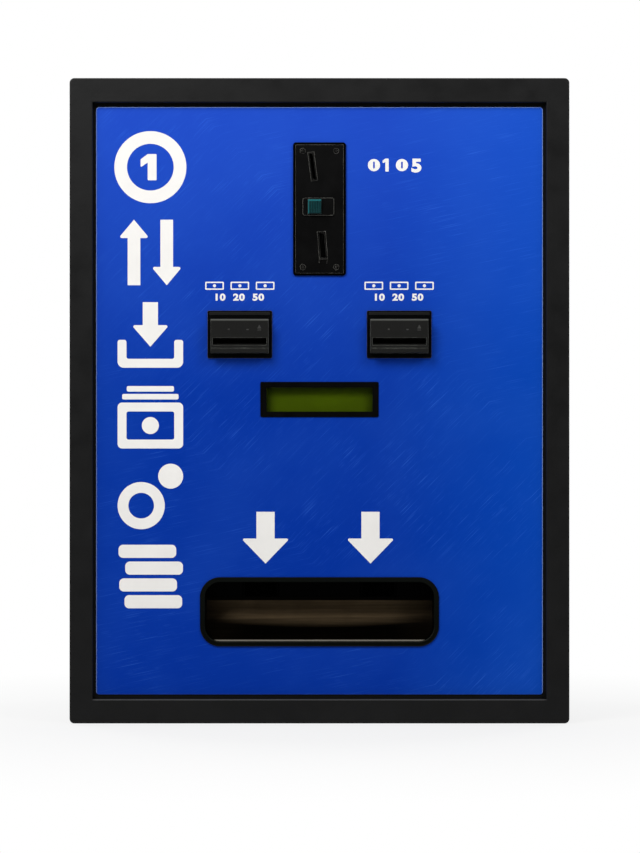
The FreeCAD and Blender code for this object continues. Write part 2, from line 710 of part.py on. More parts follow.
def loft(body, name, kind, lower, upper):
    """A loft between two level outlines, each given as (level, shape). kind adds or removes it."""
    feature = body.newObject(f"PartDesign::{kind}Loft", name)
    feature.Profile = draw(body, name + "_lower", "XY", lower[0], [lower[1]])
    feature.Sections = [draw(body, name + "_upper", "XY", upper[0], [upper[1]])]
    feature.Ruled = True
    body.Tip = feature
    return feature


def ease(body, name, radius, choose, kind="Fillet"):
    """Rounds or chamfers the edges of the body that choose picks by their bounding box."""
    DOC.recompute()
    base = body.Tip
    names = [f"Edge{i}" for i, edge in enumerate(base.Shape.Edges, 1) if choose(edge.BoundBox)]
    feature = body.newObject(f"PartDesign::{kind}", name)
    feature.Base = (base, names)
    feature.setExpression("Radius" if kind == "Fillet" else "Size", radius.formula)
    body.Tip = feature
    return feature


def in_front_plane(y):
    """Chooses the edges that lie in the upright plane at y."""
    return lambda box: abs(box.YMin - y.value) < 0.01 and abs(box.YMax - y.value) < 0.01


def place(body, x=0, y=0, z=0):
    for axis, distance in zip("xyz", (x, y, z)):
        body.setExpression(f"Placement.Base.{axis}", Length.of(distance).formula)
    return body


# Places that several pieces share ------------------------------------------------------------------

MIDDLE = S.trim_height / 2
TRIM_FRONT = -S.trim_depth
PLATE_FRONT = TRIM_FRONT + S.panel_recess
PLATE_BACK = PLATE_FRONT + S.plate_thickness
OVERLAY_FRONT = PLATE_FRONT - S.overlay_thickness
FLANGE_BACK = PLATE_BACK + S.cabinet_sheet
CABINET_BACK = PLATE_BACK + S.cabinet_depth
OPENING_HALF = S.trim_width / 2 - S.trim_side_face
OPENING_LOW = S.trim_end_face
OPENING_HIGH = S.trim_height - S.trim_end_face
CABINET_HALF = S.trim_width / 2 - S.wall_overlap
CABINET_LOW = S.wall_overlap
CABINET_HIGH = S.trim_height - S.wall_overlap
INSIDE_HALF = CABINET_HALF - S.cabinet_sheet
INSIDE_LOW = CABINET_LOW + S.cabinet_sheet
SHELF_TOP = CABINET_LOW + S.shelf_height + S.cabinet_sheet

STUD_SIDE = (OPENING_HALF + CABINET_HALF) / 2
STUD_LOW = (OPENING_LOW + CABINET_LOW) / 2
STUD_HIGH = S.trim_height - STUD_LOW
STUDS = [(side * STUD_SIDE, MIDDLE + step * S.stud_rise) for side in (-1, 1) for step in (-1, 0, 1)]
STUDS += [(side * S.stud_across, level) for side in (-1, 1) for level in (STUD_LOW, STUD_HIGH)]

ACCEPTOR_LEVEL = OPENING_HIGH - S.acceptor_drop - S.acceptor_length / 2
NOTE_LEVEL = OPENING_HIGH - S.note_drop
DISPLAY_LEVEL = NOTE_LEVEL - S.display_drop

NOTE_SLOT = NOTE_LEVEL - S.mouth_drop
HEAD_LOW = NOTE_SLOT - S.head_below
HEAD_TOP = NOTE_SLOT + S.head_above
CASSETTE_FRONT = PLATE_BACK + S.cassette_setback
CASSETTE_BACK = CASSETTE_FRONT + S.cassette_depth
ROLLER_Y = PLATE_BACK + S.roller_inset
ROLLER_OFFSET = S.note_slot_height / 2 + S.roller_radius - S.roller_bite

ACCEPTOR_FACE = OVERLAY_FRONT - S.acceptor_flange
FIELD_FACE = ACCEPTOR_FACE - S.field_rise
GUARD_FACE = FIELD_FACE - S.guard_rise
GUARD_LEVEL = ACCEPTOR_LEVEL + S.guard_lift
BODY_LOW = ACCEPTOR_LEVEL - S.acceptor_length / 2 + S.acceptor_lap + S.fit_gap
BODY_HIGH = ACCEPTOR_LEVEL + S.acceptor_length / 2 - S.acceptor_lap - S.fit_gap
BUTTON_FLANGE_BACK = PLATE_BACK + S.button_seat + S.button_flange_thickness
CHAMBER_BACK = BUTTON_FLANGE_BACK + S.button_travel + S.spring_pressed
STEM_TIP = CHAMBER_BACK + S.guide_wall + S.stem_reach
LEVER_FACE = STEM_TIP + S.lever_gap
LEVER_AXIS_Y = LEVER_FACE + S.lever_thickness / 2
LEVER_AXIS_Z = GUARD_LEVEL + S.lever_arm

CUP_INSIDE_HALF = S.cup_width / 2 - S.cup_rim
CUP_INSIDE_LOW = S.cup_height - S.cup_tall / 2 + S.cup_rim
CUP_INSIDE_HIGH = S.cup_height + S.cup_tall / 2 - S.cup_rim
CUP_INSIDE_CORNER = S.cup_corner - S.cup_rim
CUP_BACK = PLATE_BACK + S.cup_depth
SCOOP_AXIS_Y = CUP_BACK - S.cup_wall - S.scoop_gap - S.scoop_sheet - S.scoop_radius
SCOOP_AXIS_Z = CUP_INSIDE_LOW + S.scoop_gap + S.scoop_sheet + S.scoop_radius
EXIT_LEVEL = SHELF_TOP + S.hopper_base_height - S.disc_sink

BOX_TOP = INSIDE_LOW + S.box_height
BOX_BACK = S.box_front + S.box_length
BAIL_Y = BOX_BACK + S.bail_reach
BAIL_Z = BOX_TOP - S.bail_below_top
EAR_INSIDE = S.bail_width / 2 + S.bail_bend + S.fit_gap

DOOR_FRONT = CABINET_BACK + S.door_gap
DOOR_BACK = DOOR_FRONT + S.door_depth
DOOR_HALF = CABINET_HALF - S.door_margin
DOOR_LOW = CABINET_LOW + S.door_margin
DOOR_HIGH = CABINET_HIGH - S.door_margin
HINGE_X = -(CABINET_HALF + S.hinge_offset)
HINGE_Y = CABINET_BACK + S.door_gap / 2
HANDLE_X = CABINET_HALF - S.handle_inset
UPPER_ROD_FRONT = CABINET_BACK - S.rod_plane
LOWER_ROD_FRONT = UPPER_ROD_FRONT - S.rod_spacing - S.rod_thickness
CAM_FRONT = UPPER_ROD_FRONT + S.rod_thickness + S.cam_gap
CAM_BACK = CAM_FRONT + S.cam_thickness
HANDLE_SEAT = DOOR_BACK + S.escutcheon_thickness + S.handle_gap
HANDLE_END = HANDLE_SEAT + S.grip_stand + S.grip_thickness
PLUG_SEAT = HANDLE_SEAT + S.neck_floor

CONTROL_FRONT = CABINET_BACK - S.control_setback - S.control_length
CONTROL_LOW = CABINET_HIGH - S.control_drop - S.control_height
INLET_Y = CABINET_BACK - S.inlet_rear
ROCKER_X = CABINET_HALF + S.inlet_flange - S.rocker_axis
ROCKER_Y = INLET_Y + S.socket_offset
ROCKER_PIN_REACH = S.rocker_height / 2 + S.rocker_gap + S.rocker_pin_length


def cutout(width, height, lap, centre, corner=None, grow=0):
    """The hole in plate and overlay under a flange of that size that laps over them."""
    half_w = width / 2 - lap + grow
    half_h = height / 2 - lap + grow
    if corner is None:
        return rectangle(-half_w, centre - half_h, half_w, centre + half_h)
    return rounded(-half_w, centre - half_h, half_w, centre + half_h, corner)


def shifted(x, shape):
    """The same shape moved across by x."""
    def drawn(outline):
        mover = _Mover(outline, x)
        shape(mover)
    return drawn


class _Mover:
    """Hands shapes on to an outline, moved across."""

    def __init__(self, outline, x):
        self.outline = outline
        self.x = x

    def rectangle(self, left, bottom, right, top):
        self.outline.rectangle(left + self.x, bottom, right + self.x, top)

    def rounded(self, left, bottom, right, top, radius):
        self.outline.rounded(left + self.x, bottom, right + self.x, top, radius)


def front_cutouts():
    """The holes for coin acceptor, note bezels, display and cup, in plate and overlay alike."""
    note = cutout(S.note_width, S.note_flange_height, S.note_lap, NOTE_LEVEL)
    return [
        cutout(S.acceptor_width, S.acceptor_length, S.acceptor_lap, ACCEPTOR_LEVEL),
        shifted(-S.note_spacing / 2, note),
        shifted(S.note_spacing / 2, note),
        cutout(S.display_width, S.display_tall, S.display_lap, DISPLAY_LEVEL),
        cutout(S.cup_width, S.cup_tall, S.cup_rim - S.cup_wall - S.fit_gap, S.cup_height,
               CUP_INSIDE_CORNER + S.cup_wall + S.fit_gap),
    ]


# Front ---------------------------------------------------------------------------------------------


def build_trim_frame():
    """The formed steel surround, with its weld studs."""
    body = new_body("trim_frame")
    half = S.trim_width / 2
    sheet = S.trim_sheet
    outer = rounded(-half, 0, half, S.trim_height, S.trim_corner)
    hollow = rounded(-half + sheet, sheet, half - sheet, S.trim_height - sheet, S.trim_corner - sheet)
    opening = rectangle(-OPENING_HALF, OPENING_LOW, OPENING_HALF, OPENING_HIGH)
    collar = rectangle(-OPENING_HALF - sheet, OPENING_LOW - sheet, OPENING_HALF + sheet, OPENING_HIGH + sheet)
    lip = S.wall_overlap - S.lip_gap
    lip_inner = rectangle(-half + lip, lip, half - lip, S.trim_height - lip)
    pad(body, "face", "XZ", TRIM_FRONT, TRIM_FRONT + sheet, outer, opening)
    pad(body, "outer_wall", "XZ", TRIM_FRONT, 0, outer, hollow)
    pad(body, "inner_wall", "XZ", TRIM_FRONT, PLATE_FRONT, collar, opening)
    pad(body, "rear_lip", "XZ", -sheet, 0, outer, lip_inner)
    ease(body, "front_edges", S.trim_edge_round, in_front_plane(TRIM_FRONT))
    studs = [circle(x, z, S.stud_radius) for x, z in STUDS]
    pad(body, "studs", "XZ", TRIM_FRONT + sheet, FLANGE_BACK + S.stud_tail, *studs)


def build_trim_nuts():
    body = new_body("trim_nuts")
    bore = S.stud_radius + S.running_gap
    shapes = []
    for x, z in STUDS:
        shapes += [hexagon(x, z, S.nut_width), circle(x, z, bore)]
    pad(body, "nuts", "XZ", FLANGE_BACK, FLANGE_BACK + S.nut_height, *shapes)


def build_face_plate():
    """The steel plate behind the overlay, with pressed-in standoffs for the display board."""
    body = new_body("face_plate")
    half = CABINET_HALF - S.plate_margin
    low = CABINET_LOW + S.plate_margin
    high = CABINET_HIGH - S.plate_margin
    holes = [circle(x, z, S.stud_radius + S.stud_clearance) for x, z in STUDS]
    pad(body, "plate", "XZ", PLATE_FRONT, PLATE_BACK,
        rectangle(-half, low, half, high), *front_cutouts(), *holes)
    side = S.display_width / 2 - S.display_lap + S.board_margin - S.standoff_inset
    rise = S.display_tall / 2 - S.display_lap + S.board_lip - S.standoff_inset
    standoffs = [circle(a * side, DISPLAY_LEVEL + b * rise, S.standoff_radius)
                 for a in (-1, 1) for b in (-1, 1)]
    board_front = PLATE_BACK + S.display_sink + S.window_thickness + S.glass_thickness
    pad(body, "standoffs", "XZ", PLATE_BACK, board_front, *standoffs)


def build_graphic_overlay():
    body = new_body("graphic_overlay")
    half = OPENING_HALF - S.overlay_side_gap
    rise = (OPENING_HIGH - OPENING_LOW) / 2 - S.overlay_end_gap
    pad(body, "sheet", "XZ", OVERLAY_FRONT, PLATE_FRONT,
        rounded(-half, MIDDLE - rise, half, MIDDLE + rise, S.overlay_corner), *front_cutouts())


def build_display():
    """Bezel, clear window, and the display glass on its board."""
    tube_half = S.display_width / 2 - S.display_lap - S.fit_gap
    tube_rise = S.display_tall / 2 - S.display_lap - S.fit_gap
    z = DISPLAY_LEVEL
    view = rectangle(-S.display_view_width / 2, z - S.display_view_height / 2,
                     S.display_view_width / 2, z + S.display_view_height / 2)
    tube = rectangle(-tube_half, z - tube_rise, tube_half, z + tube_rise)
    tube_back = PLATE_BACK + S.display_sink
    bezel = new_body("display_bezel")
    flange_front = OVERLAY_FRONT - S.display_flange
    pad(bezel, "flange", "XZ", flange_front, OVERLAY_FRONT,
        rounded(-S.display_width / 2, z - S.display_tall / 2, S.display_width / 2,
                z + S.display_tall / 2, S.display_corner), view)
    pad(bezel, "tube", "XZ", OVERLAY_FRONT, tube_back, tube, view)
    window = new_body("display_window")
    window_back = tube_back + S.window_thickness
    pad(window, "pane", "XZ", tube_back, window_back, tube)
    module = new_body("display_module")
    glass_back = window_back + S.glass_thickness
    pad(module, "glass", "XZ", window_back, glass_back, tube)
    board_half = tube_half + S.fit_gap + S.board_margin
    board_rise = tube_rise + S.fit_gap + S.board_lip
    pad(module, "board", "XZ", glass_back, glass_back + S.board_thickness,
        rectangle(-board_half, z - board_rise, board_half, z + board_rise))


# Coin acceptor -------------------------------------------------------------------------------------


def coin_slot(grow=0):
    return slanted(S.coin_slot_side, ACCEPTOR_LEVEL + S.coin_slot_rise,
                   S.coin_slot_length + 2 * grow, S.coin_slot_width + 2 * grow, S.coin_slot_tilt)


def return_slot(grow=0):
    return slanted(S.return_slot_side, ACCEPTOR_LEVEL - S.return_slot_drop,
                   S.return_slot_length + 2 * grow, S.return_slot_width + 2 * grow, S.return_slot_tilt)


def acceptor_screw_places():
    return [(a * S.screw_across / 2, ACCEPTOR_LEVEL + b * S.screw_rise)
            for a in (-1, 1) for b in (-1, 1)]


def build_acceptor_faceplate():
    body = new_body("acceptor_faceplate")
    z = ACCEPTOR_LEVEL
    half, rise = S.acceptor_width / 2, S.acceptor_length / 2
    border = S.acceptor_border
    plug_half = half - S.acceptor_lap - S.fit_gap
    plug_rise = rise - S.acceptor_lap - S.fit_gap
    pad(body, "flange", "XZ", ACCEPTOR_FACE, OVERLAY_FRONT,
        rounded(-half, z - rise, half, z + rise, S.acceptor_corner))
    pad(body, "plug", "XZ", OVERLAY_FRONT, PLATE_BACK,
        rectangle(-plug_half, z - plug_rise, plug_half, z + plug_rise))
    pad(body, "field", "XZ", FIELD_FACE, ACCEPTOR_FACE,
        rectangle(-half + border, z - rise + border, half - border, z + rise - border))
    guard_half, guard_rise = S.guard_width / 2, S.guard_height / 2
    pad(body, "guard", "XZ", GUARD_FACE, FIELD_FACE,
        rounded(S.guard_side - guard_half, GUARD_LEVEL - guard_rise,
                S.guard_side + guard_half, GUARD_LEVEL + guard_rise, S.guard_corner))
    pad(body, "slot_lips", "XZ", FIELD_FACE - S.lip_rise, FIELD_FACE,
        coin_slot(S.slot_lip), return_slot(S.slot_lip))
    cut(body, "slots", "XZ", FIELD_FACE - S.lip_rise, PLATE_BACK, coin_slot(), return_slot())
    hole_half = S.button_width / 2 + S.button_gap
    hole_rise = S.button_height / 2 + S.button_gap
    cut(body, "button_hole", "XZ", GUARD_FACE, PLATE_BACK,
        rectangle(S.button_side - hole_half, GUARD_LEVEL - hole_rise,
                  S.button_side + hole_half, GUARD_LEVEL + hole_rise))
    places = acceptor_screw_places()
    cut(body, "screw_seats", "XZ", FIELD_FACE, FIELD_FACE + S.screw_sink,
        *[circle(x, level, S.screw_head + S.screw_gap) for x, level in places])
    cut(body, "screw_holes", "XZ", FIELD_FACE, PLATE_BACK,
        *[circle(x, level, S.screw_shank + S.screw_gap) for x, level in places])


def build_acceptor_screws():
    body = new_body("acceptor_screws")
    seat = FIELD_FACE + S.screw_sink
    places = acceptor_screw_places()
    pad(body, "heads", "XZ", seat - S.screw_head_height, seat,
        *[circle(x, z, S.screw_head) for x, z in places])
    pad(body, "shanks", "XZ", seat, seat + S.screw_length,
        *[circle(x, z, S.screw_shank) for x, z in places])
    top = seat - S.screw_head_height
    long, thin = S.drive_length / 2, S.drive_width / 2
    for name, wide, tall in (("drive_upright", thin, long), ("drive_across", long, thin)):
        cut(body, name, "XZ", top, top + S.drive_depth,
            *[rectangle(x - wide, z - tall, x + wide, z + tall) for x, z in places])


def build_return_button():
    """The cap, its retaining flange behind the faceplate, and the stem that pushes the lever."""
    body = new_body("return_button")
    half, rise = S.button_width / 2, S.button_height / 2
    x, z = S.button_side, GUARD_LEVEL
    flange_front = PLATE_BACK + S.button_seat
    wide, tall = half + S.button_flange, rise + S.button_flange
    pad(body, "cap", "XZ", GUARD_FACE - S.button_proud, flange_front,
        rectangle(x - half, z - rise, x + half, z + rise))
    pad(body, "flange", "XZ", flange_front, BUTTON_FLANGE_BACK,
        rectangle(x - wide, z - tall, x + wide, z + tall))
    pad(body, "stem", "XZ", BUTTON_FLANGE_BACK, STEM_TIP, circle(x, z, S.stem_radius))


def build_button_spring():
    """The coil between the button's flange and the guide wall, round the stem."""
    front = BUTTON_FLANGE_BACK.value
    wire = S.spring_wire.value
    radius = S.spring_radius.value
    length = CHAMBER_BACK.value - front - 2 * wire
    helix = Part.makeHelix(length / S.spring_turns.value, length, radius)
    section = Part.Wire(Part.makeCircle(wire, FreeCAD.Vector(radius, 0, 0), FreeCAD.Vector(0, 1, 0)))
    coil = Part.Wire(helix).makePipeShell([section], True, True)
    spring = DOC.addObject("Part::Feature", "button_spring")
    spring.Label = "button_spring"
    spring.Shape = coil
    turn = FreeCAD.Rotation(FreeCAD.Vector(1, 0, 0), -90)
    place_of = FreeCAD.Vector(S.button_side.value, front + wire, GUARD_LEVEL.value)
    spring.Placement = FreeCAD.Placement(place_of, turn)


def build_return_lever():
    """The arm that the stem swings, on its two trunnions."""
    body = new_body("return_lever")
    x = S.button_side
    half = S.lever_width / 2
    pad(body, "arm", "YZ", x - half, x + half,
        rectangle(LEVER_FACE, GUARD_LEVEL - S.lever_tail, LEVER_FACE + S.lever_thickness, LEVER_AXIS_Z))
    pad(body, "hub", "YZ", x - half, x + half, circle(LEVER_AXIS_Y, LEVER_AXIS_Z, S.lever_hub))
    reach = half + S.lever_side_gap + S.lever_pin_length
    pad(body, "trunnions", "YZ", x - reach, x + reach, circle(LEVER_AXIS_Y, LEVER_AXIS_Z, S.lever_pin))


def build_acceptor_body():
    """The coin validator's housing, with its coin path and the chambers for button and lever."""
    body = new_body("coin_acceptor_body")
    half = S.body_half_width
    pad(body, "housing", "XZ", PLATE_BACK, PLATE_BACK + S.body_depth,
        rounded(-half, BODY_LOW, half, BODY_HIGH, S.body_corner))
    x = S.button_side
    wide = S.button_width / 2 + S.button_flange + S.fit_gap
    tall = S.button_height / 2 + S.button_flange + S.fit_gap
    cut(body, "button_chamber", "XZ", PLATE_BACK, CHAMBER_BACK,
        rectangle(x - wide, GUARD_LEVEL - tall, x + wide, GUARD_LEVEL + tall))
    lever_front = CHAMBER_BACK + S.guide_wall
    cut(body, "stem_guide", "XZ", PLATE_BACK, lever_front,
        circle(x, GUARD_LEVEL, S.stem_radius + S.stem_gap))
    side = S.lever_width / 2 + S.lever_side_gap
    room_top = LEVER_AXIS_Z + S.lever_hub + S.lever_side_gap
    cut(body, "lever_chamber", "XZ", lever_front, LEVER_FACE + S.lever_thickness + S.lever_room,
        rectangle(x - side, GUARD_LEVEL - S.lever_tail - S.lever_foot_room, x + side, room_top))
    reach = side + S.lever_pin_length + S.lever_gap
    cut(body, "lever_bearings", "YZ", x - reach, x + reach,
        circle(LEVER_AXIS_Y, LEVER_AXIS_Z, S.lever_pin + S.running_gap))
    cut(body, "coin_path", "XZ", PLATE_BACK, PLATE_BACK + S.coin_path_depth, coin_slot(S.fit_gap))
    cut(body, "return_path", "XZ", PLATE_BACK, PLATE_BACK + S.return_path_depth, return_slot(S.fit_gap))
    cut(body, "screw_bores", "XZ", PLATE_BACK, PLATE_BACK + S.screw_length,
        *[circle(px, pz, S.screw_shank + S.running_gap) for px, pz in acceptor_screw_places()])
    tube, wall = S.drop_half_width - S.drop_wall, S.drop_wall
    cut(body, "drop_path", "XY", BODY_LOW, ACCEPTOR_LEVEL + S.coin_slot_rise,
        rectangle(-tube, S.drop_front + wall, tube, S.drop_front + S.drop_depth - wall))


def build_coin_drop_tube():
    """The tube that takes accepted coins down to the coin box."""
    body = new_body("coin_drop_tube")
    half, wall = S.drop_half_width, S.drop_wall
    back = S.drop_front + S.drop_depth
    pad(body, "tube", "XY", BOX_TOP + S.drop_gap, BODY_LOW,
        rectangle(-half, S.drop_front, half, back),
        rectangle(-half + wall, S.drop_front + wall, half - wall, back - wall))


# Note readers --------------------------------------------------------------------------------------


def build_note_bezel(label, side):
    """The moulded snout with the note mouth."""
    body = new_body(label)
    flange_front = OVERLAY_FRONT - S.note_flange
    front = flange_front - S.snout_reach
    half = S.note_width / 2
    rise = S.note_flange_height / 2
    z = NOTE_LEVEL
    low, high = z - S.snout_below, z + S.snout_above
    mouth_low, mouth_high = NOTE_SLOT - S.mouth_height / 2, NOTE_SLOT + S.mouth_height / 2
    slot_low, slot_high = NOTE_SLOT - S.note_slot_height / 2, NOTE_SLOT + S.note_slot_height / 2
    pad(body, "flange", "XZ", flange_front, OVERLAY_FRONT,
        rounded(-half, z - rise, half, z + rise, S.note_corner))
    plug_half, plug_rise = half - S.note_lap - S.fit_gap, rise - S.note_lap - S.fit_gap
    pad(body, "plug", "XZ", OVERLAY_FRONT, PLATE_BACK,
        rectangle(-plug_half, z - plug_rise, plug_half, z + plug_rise))
    rib_low = mouth_low - S.chin_step
    pad(body, "snout", "YZ", -S.snout_width / 2, S.snout_width / 2, polygon(
        (flange_front, low), (flange_front, high), (front, high), (front, rib_low),
        (front + S.chin_groove, rib_low), (front + S.chin_groove, rib_low - S.chin_groove),
        (front, rib_low - S.chin_groove), (front, low)))
    ease(body, "snout_edges", S.snout_round, in_front_plane_outline(front, low, high))
    slot_half = S.note_slot_width / 2
    cut(body, "mouth", "YZ", -slot_half, slot_half, polygon(
        (front, mouth_low), (front, mouth_high), (front + S.mouth_depth, slot_high),
        (PLATE_BACK, slot_high), (PLATE_BACK, slot_low), (front + S.mouth_depth, slot_low)))
    place(body, x=side * S.note_spacing / 2)


def in_front_plane_outline(front, low, high):
    """Chooses the snout's front edges at its top, bottom and sides, away from the groove."""
    def choose(box):
        flat = abs(box.YMin - front.value) < 0.01 and abs(box.YMax - front.value) < 0.01
        level = box.ZMax - box.ZMin < 0.01
        at_end = abs(box.ZMax - high.value) < 0.01 or abs(box.ZMin - low.value) < 0.01
        return flat and level and at_end
    return choose


def build_reader_head(label, side):
    """The note reader's housing, with the note path, the roller pockets and the shaft bearings."""
    body = new_body(label)
    half = S.head_width / 2
    low = HEAD_LOW
    pad(body, "housing", "XZ", PLATE_BACK, PLATE_BACK + S.head_depth,
        rounded(-half, low, half, HEAD_TOP, S.head_corner))
    slot_half, slot_rise = S.note_slot_width / 2, S.note_slot_height / 2
    path_back = PLATE_BACK + S.path_length
    cut(body, "note_path", "XZ", PLATE_BACK, path_back,
        rectangle(-slot_half, NOTE_SLOT - slot_rise, slot_half, NOTE_SLOT + slot_rise))
    cut(body, "stacking_path", "XY", NOTE_SLOT, HEAD_TOP,
        rectangle(-slot_half, path_back - S.note_slot_height, slot_half, path_back))
    axes = [NOTE_SLOT - ROLLER_OFFSET, NOTE_SLOT + ROLLER_OFFSET]
    room = S.roller_length / 2 + S.roller_pocket
    for name, z in zip(("lower_pocket", "upper_pocket"), axes):
        cut(body, name, "YZ", -room, room, circle(ROLLER_Y, z, S.roller_radius + S.roller_pocket))
    reach = room + S.shaft_seat
    cut(body, "bearings", "YZ", -reach, reach,
        *[circle(ROLLER_Y, z, S.roller_shaft + S.running_gap) for z in axes])
    place(body, x=side * S.note_spacing / 2)


def build_roller(label, side, level):
    """A shaft with two rubber wheels."""
    body = new_body(label)
    reach = S.roller_length / 2 + S.shaft_seat
    half = S.roller_length / 2
    inner = half - S.wheel_width
    pad(body, "shaft", "YZ", -reach, reach, circle(ROLLER_Y, level, S.roller_shaft))
    pad(body, "left_wheel", "YZ", -half, -inner, circle(ROLLER_Y, level, S.roller_radius))
    pad(body, "right_wheel", "YZ", inner, half, circle(ROLLER_Y, level, S.roller_radius))
    place(body, x=side * S.note_spacing / 2)


def build_cassette(label, side):
    """The note cassette on top of the reader, open at the rear, with its grip."""
    body = new_body(label)
    half = S.head_width / 2
    wall = S.cassette_wall
    top = HEAD_TOP + S.cassette_height
    back = CASSETTE_BACK - wall
    pad(body, "case", "XY", HEAD_TOP, top, rectangle(-half, CASSETTE_FRONT, half, back))
    cut(body, "inside", "XZ", CASSETTE_FRONT + wall, back,
        rectangle(-half + wall, HEAD_TOP + wall, half - wall, top - wall))
    slot_half = S.note_slot_width / 2
    path_back = PLATE_BACK + S.path_length
    cut(body, "note_slot", "XY", HEAD_TOP, HEAD_TOP + wall,
        rectangle(-slot_half, path_back - S.note_slot_height, slot_half, path_back))
    middle = (CASSETTE_FRONT + CASSETTE_BACK) / 2
    grip_half, bar = S.grip_width / 2, S.grip_bar
    pad(body, "grip", "XZ", middle - S.grip_depth / 2, middle + S.grip_depth / 2, polygon(
        (-grip_half, top), (-grip_half, top + S.grip_height), (grip_half, top + S.grip_height),
        (grip_half, top), (grip_half - bar, top), (grip_half - bar, top + S.grip_height - bar),
        (-grip_half + bar, top + S.grip_height - bar), (-grip_half + bar, top)))
    place(body, x=side * S.note_spacing / 2)


def build_cassette_door(label, side):
    """The flap that closes the cassette's rear, hung on its upright edge."""
    body = new_body(label)
    half = S.head_width / 2
    back = CASSETTE_BACK
    low = HEAD_TOP + S.flap_gap
    high = HEAD_TOP + S.cassette_height - S.flap_gap
    wall = S.cassette_wall
    pad(body, "flap", "XZ", back - wall + S.flap_seat, back, rectangle(-half, low, half, high))
    pad(body, "hinge_roll", "XY", low, high, circle(half, back, S.flap_roll))
    place(body, x=side * S.note_spacing / 2)


# Payout --------------------------------------------------------------------------------------------


def build_coin_cup():
    """The moulded cup with its rim, open to the payout chutes at the rear."""
    body = new_body("coin_cup")
    z = S.cup_height
    half, rise = S.cup_width / 2, S.cup_tall / 2
    inner = rounded(-CUP_INSIDE_HALF, CUP_INSIDE_LOW, CUP_INSIDE_HALF, CUP_INSIDE_HIGH, CUP_INSIDE_CORNER)
    wall = S.cup_wall
    rim_front = OVERLAY_FRONT - S.cup_flange
    pad(body, "rim", "XZ", rim_front, OVERLAY_FRONT,
        rounded(-half, z - rise, half, z + rise, S.cup_corner), inner)
    ease(body, "rim_edges", S.cup_rim_round, in_front_plane(rim_front))
    pad(body, "tub", "XZ", OVERLAY_FRONT, CUP_BACK, rounded(
        -CUP_INSIDE_HALF - wall, CUP_INSIDE_LOW - wall, CUP_INSIDE_HALF + wall,
        CUP_INSIDE_HIGH + wall, CUP_INSIDE_CORNER + wall))
    cut(body, "inside", "XZ", OVERLAY_FRONT, CUP_BACK - wall, inner)
    reach = S.chute_width / 2 + S.window_margin
    cut(body, "windows", "XZ", CUP_BACK - wall, CUP_BACK,
        *[rectangle(a * S.chute_side - reach, SCOOP_AXIS_Z, a * S.chute_side + reach,
                    CUP_INSIDE_HIGH - S.window_head) for a in (-1, 1)])


def build_scoop_plate():
    """The curved plate that guides the coins forward to the fingers."""
    body = new_body("scoop_plate")
    half = S.cup_width / 2
    y, z = SCOOP_AXIS_Y, SCOOP_AXIS_Z
    inner, outer = S.scoop_radius, S.scoop_radius + S.scoop_sheet
    feature = body.newObject("PartDesign::Pad", "sheet")
    outline = Outline(body, "YZ", -half, "sheet_outline")
    front = PLATE_FRONT
    sketch = outline.sketch
    arcs = []
    for radius in (inner, outer):
        ring = Part.Circle(FreeCAD.Vector(y.value, z.value, 0), FreeCAD.Vector(0, 0, 1), radius.value)
        arcs.append(sketch.addGeometry(Part.ArcOfCircle(ring, -math.pi / 2, 0), False))
    ends = [
        outline.line((y.value + inner.value, z.value), (y.value + outer.value, z.value)),
        outline.line((y.value, z.value - outer.value), (front.value, z.value - outer.value)),
        outline.line((front.value, z.value - outer.value), (front.value, z.value - inner.value)),
        outline.line((front.value, z.value - inner.value), (y.value, z.value - inner.value)),
    ]
    joints = [(arcs[0], 2, ends[0], 1), (ends[0], 2, arcs[1], 2), (arcs[1], 1, ends[1], 1),
              (ends[1], 2, ends[2], 1), (ends[2], 2, ends[3], 1), (ends[3], 2, arcs[0], 1)]
    for joint in joints:
        outline.relate("Coincident", *joint)
    outline.relate("Coincident", arcs[0], 3, arcs[1], 3)
    for geometry in (ends[0], ends[1], ends[3]):
        outline.relate("Horizontal", geometry)
    outline.bind(inner, "Radius", arcs[0])
    outline.bind(outer, "Radius", arcs[1])
    outline.pin_x(arcs[0], 3, y)
    outline.pin_y(arcs[0], 3, z)
    outline.pin_y(ends[0], 1, z)
    outline.pin_x(arcs[0], 1, y)
    outline.pin_x(arcs[1], 1, y)
    outline.pin_x(ends[2], 1, front)
    outline.pin_x(ends[2], 2, front)
    feature.Profile = outline.finish()
    feature.setExpression("Length", S.cup_width.formula)
    body.Tip = feature
    gap = S.scoop_gap
    cut(body, "ends", "XZ", PLATE_FRONT, CUP_BACK,
        rectangle(-S.cup_width, z - S.cup_tall * 2, S.cup_width, z + S.cup_tall * 2),
        rounded(-CUP_INSIDE_HALF + gap, CUP_INSIDE_LOW + gap, CUP_INSIDE_HALF - gap,
                CUP_INSIDE_HIGH - gap, CUP_INSIDE_CORNER - gap))


def build_payout_chute(label, side):
    """The trough from the hopper's exit down to the cup."""
    body = new_body(label)
    wall = S.chute_wall
    start_y, start_z = S.hopper_front - S.chute_gap, EXIT_LEVEL - S.chute_gap
    end_y, end_z = CUP_BACK, SCOOP_AXIS_Z + wall
    half = S.chute_width / 2
    tall = S.chute_side_height
    pad(body, "floor", "YZ", -half, half, polygon(
        (end_y, end_z - wall), (start_y, start_z - wall), (start_y, start_z), (end_y, end_z)))
    pad(body, "left_side", "YZ", -half - wall, -half, polygon(
        (end_y, end_z - wall), (start_y, start_z - wall), (start_y, start_z + tall), (end_y, end_z + tall)))
    pad(body, "right_side", "YZ", half, half + wall, polygon(
        (end_y, end_z - wall), (start_y, start_z - wall), (start_y, start_z + tall), (end_y, end_z + tall)))
    place(body, x=side * S.chute_side)


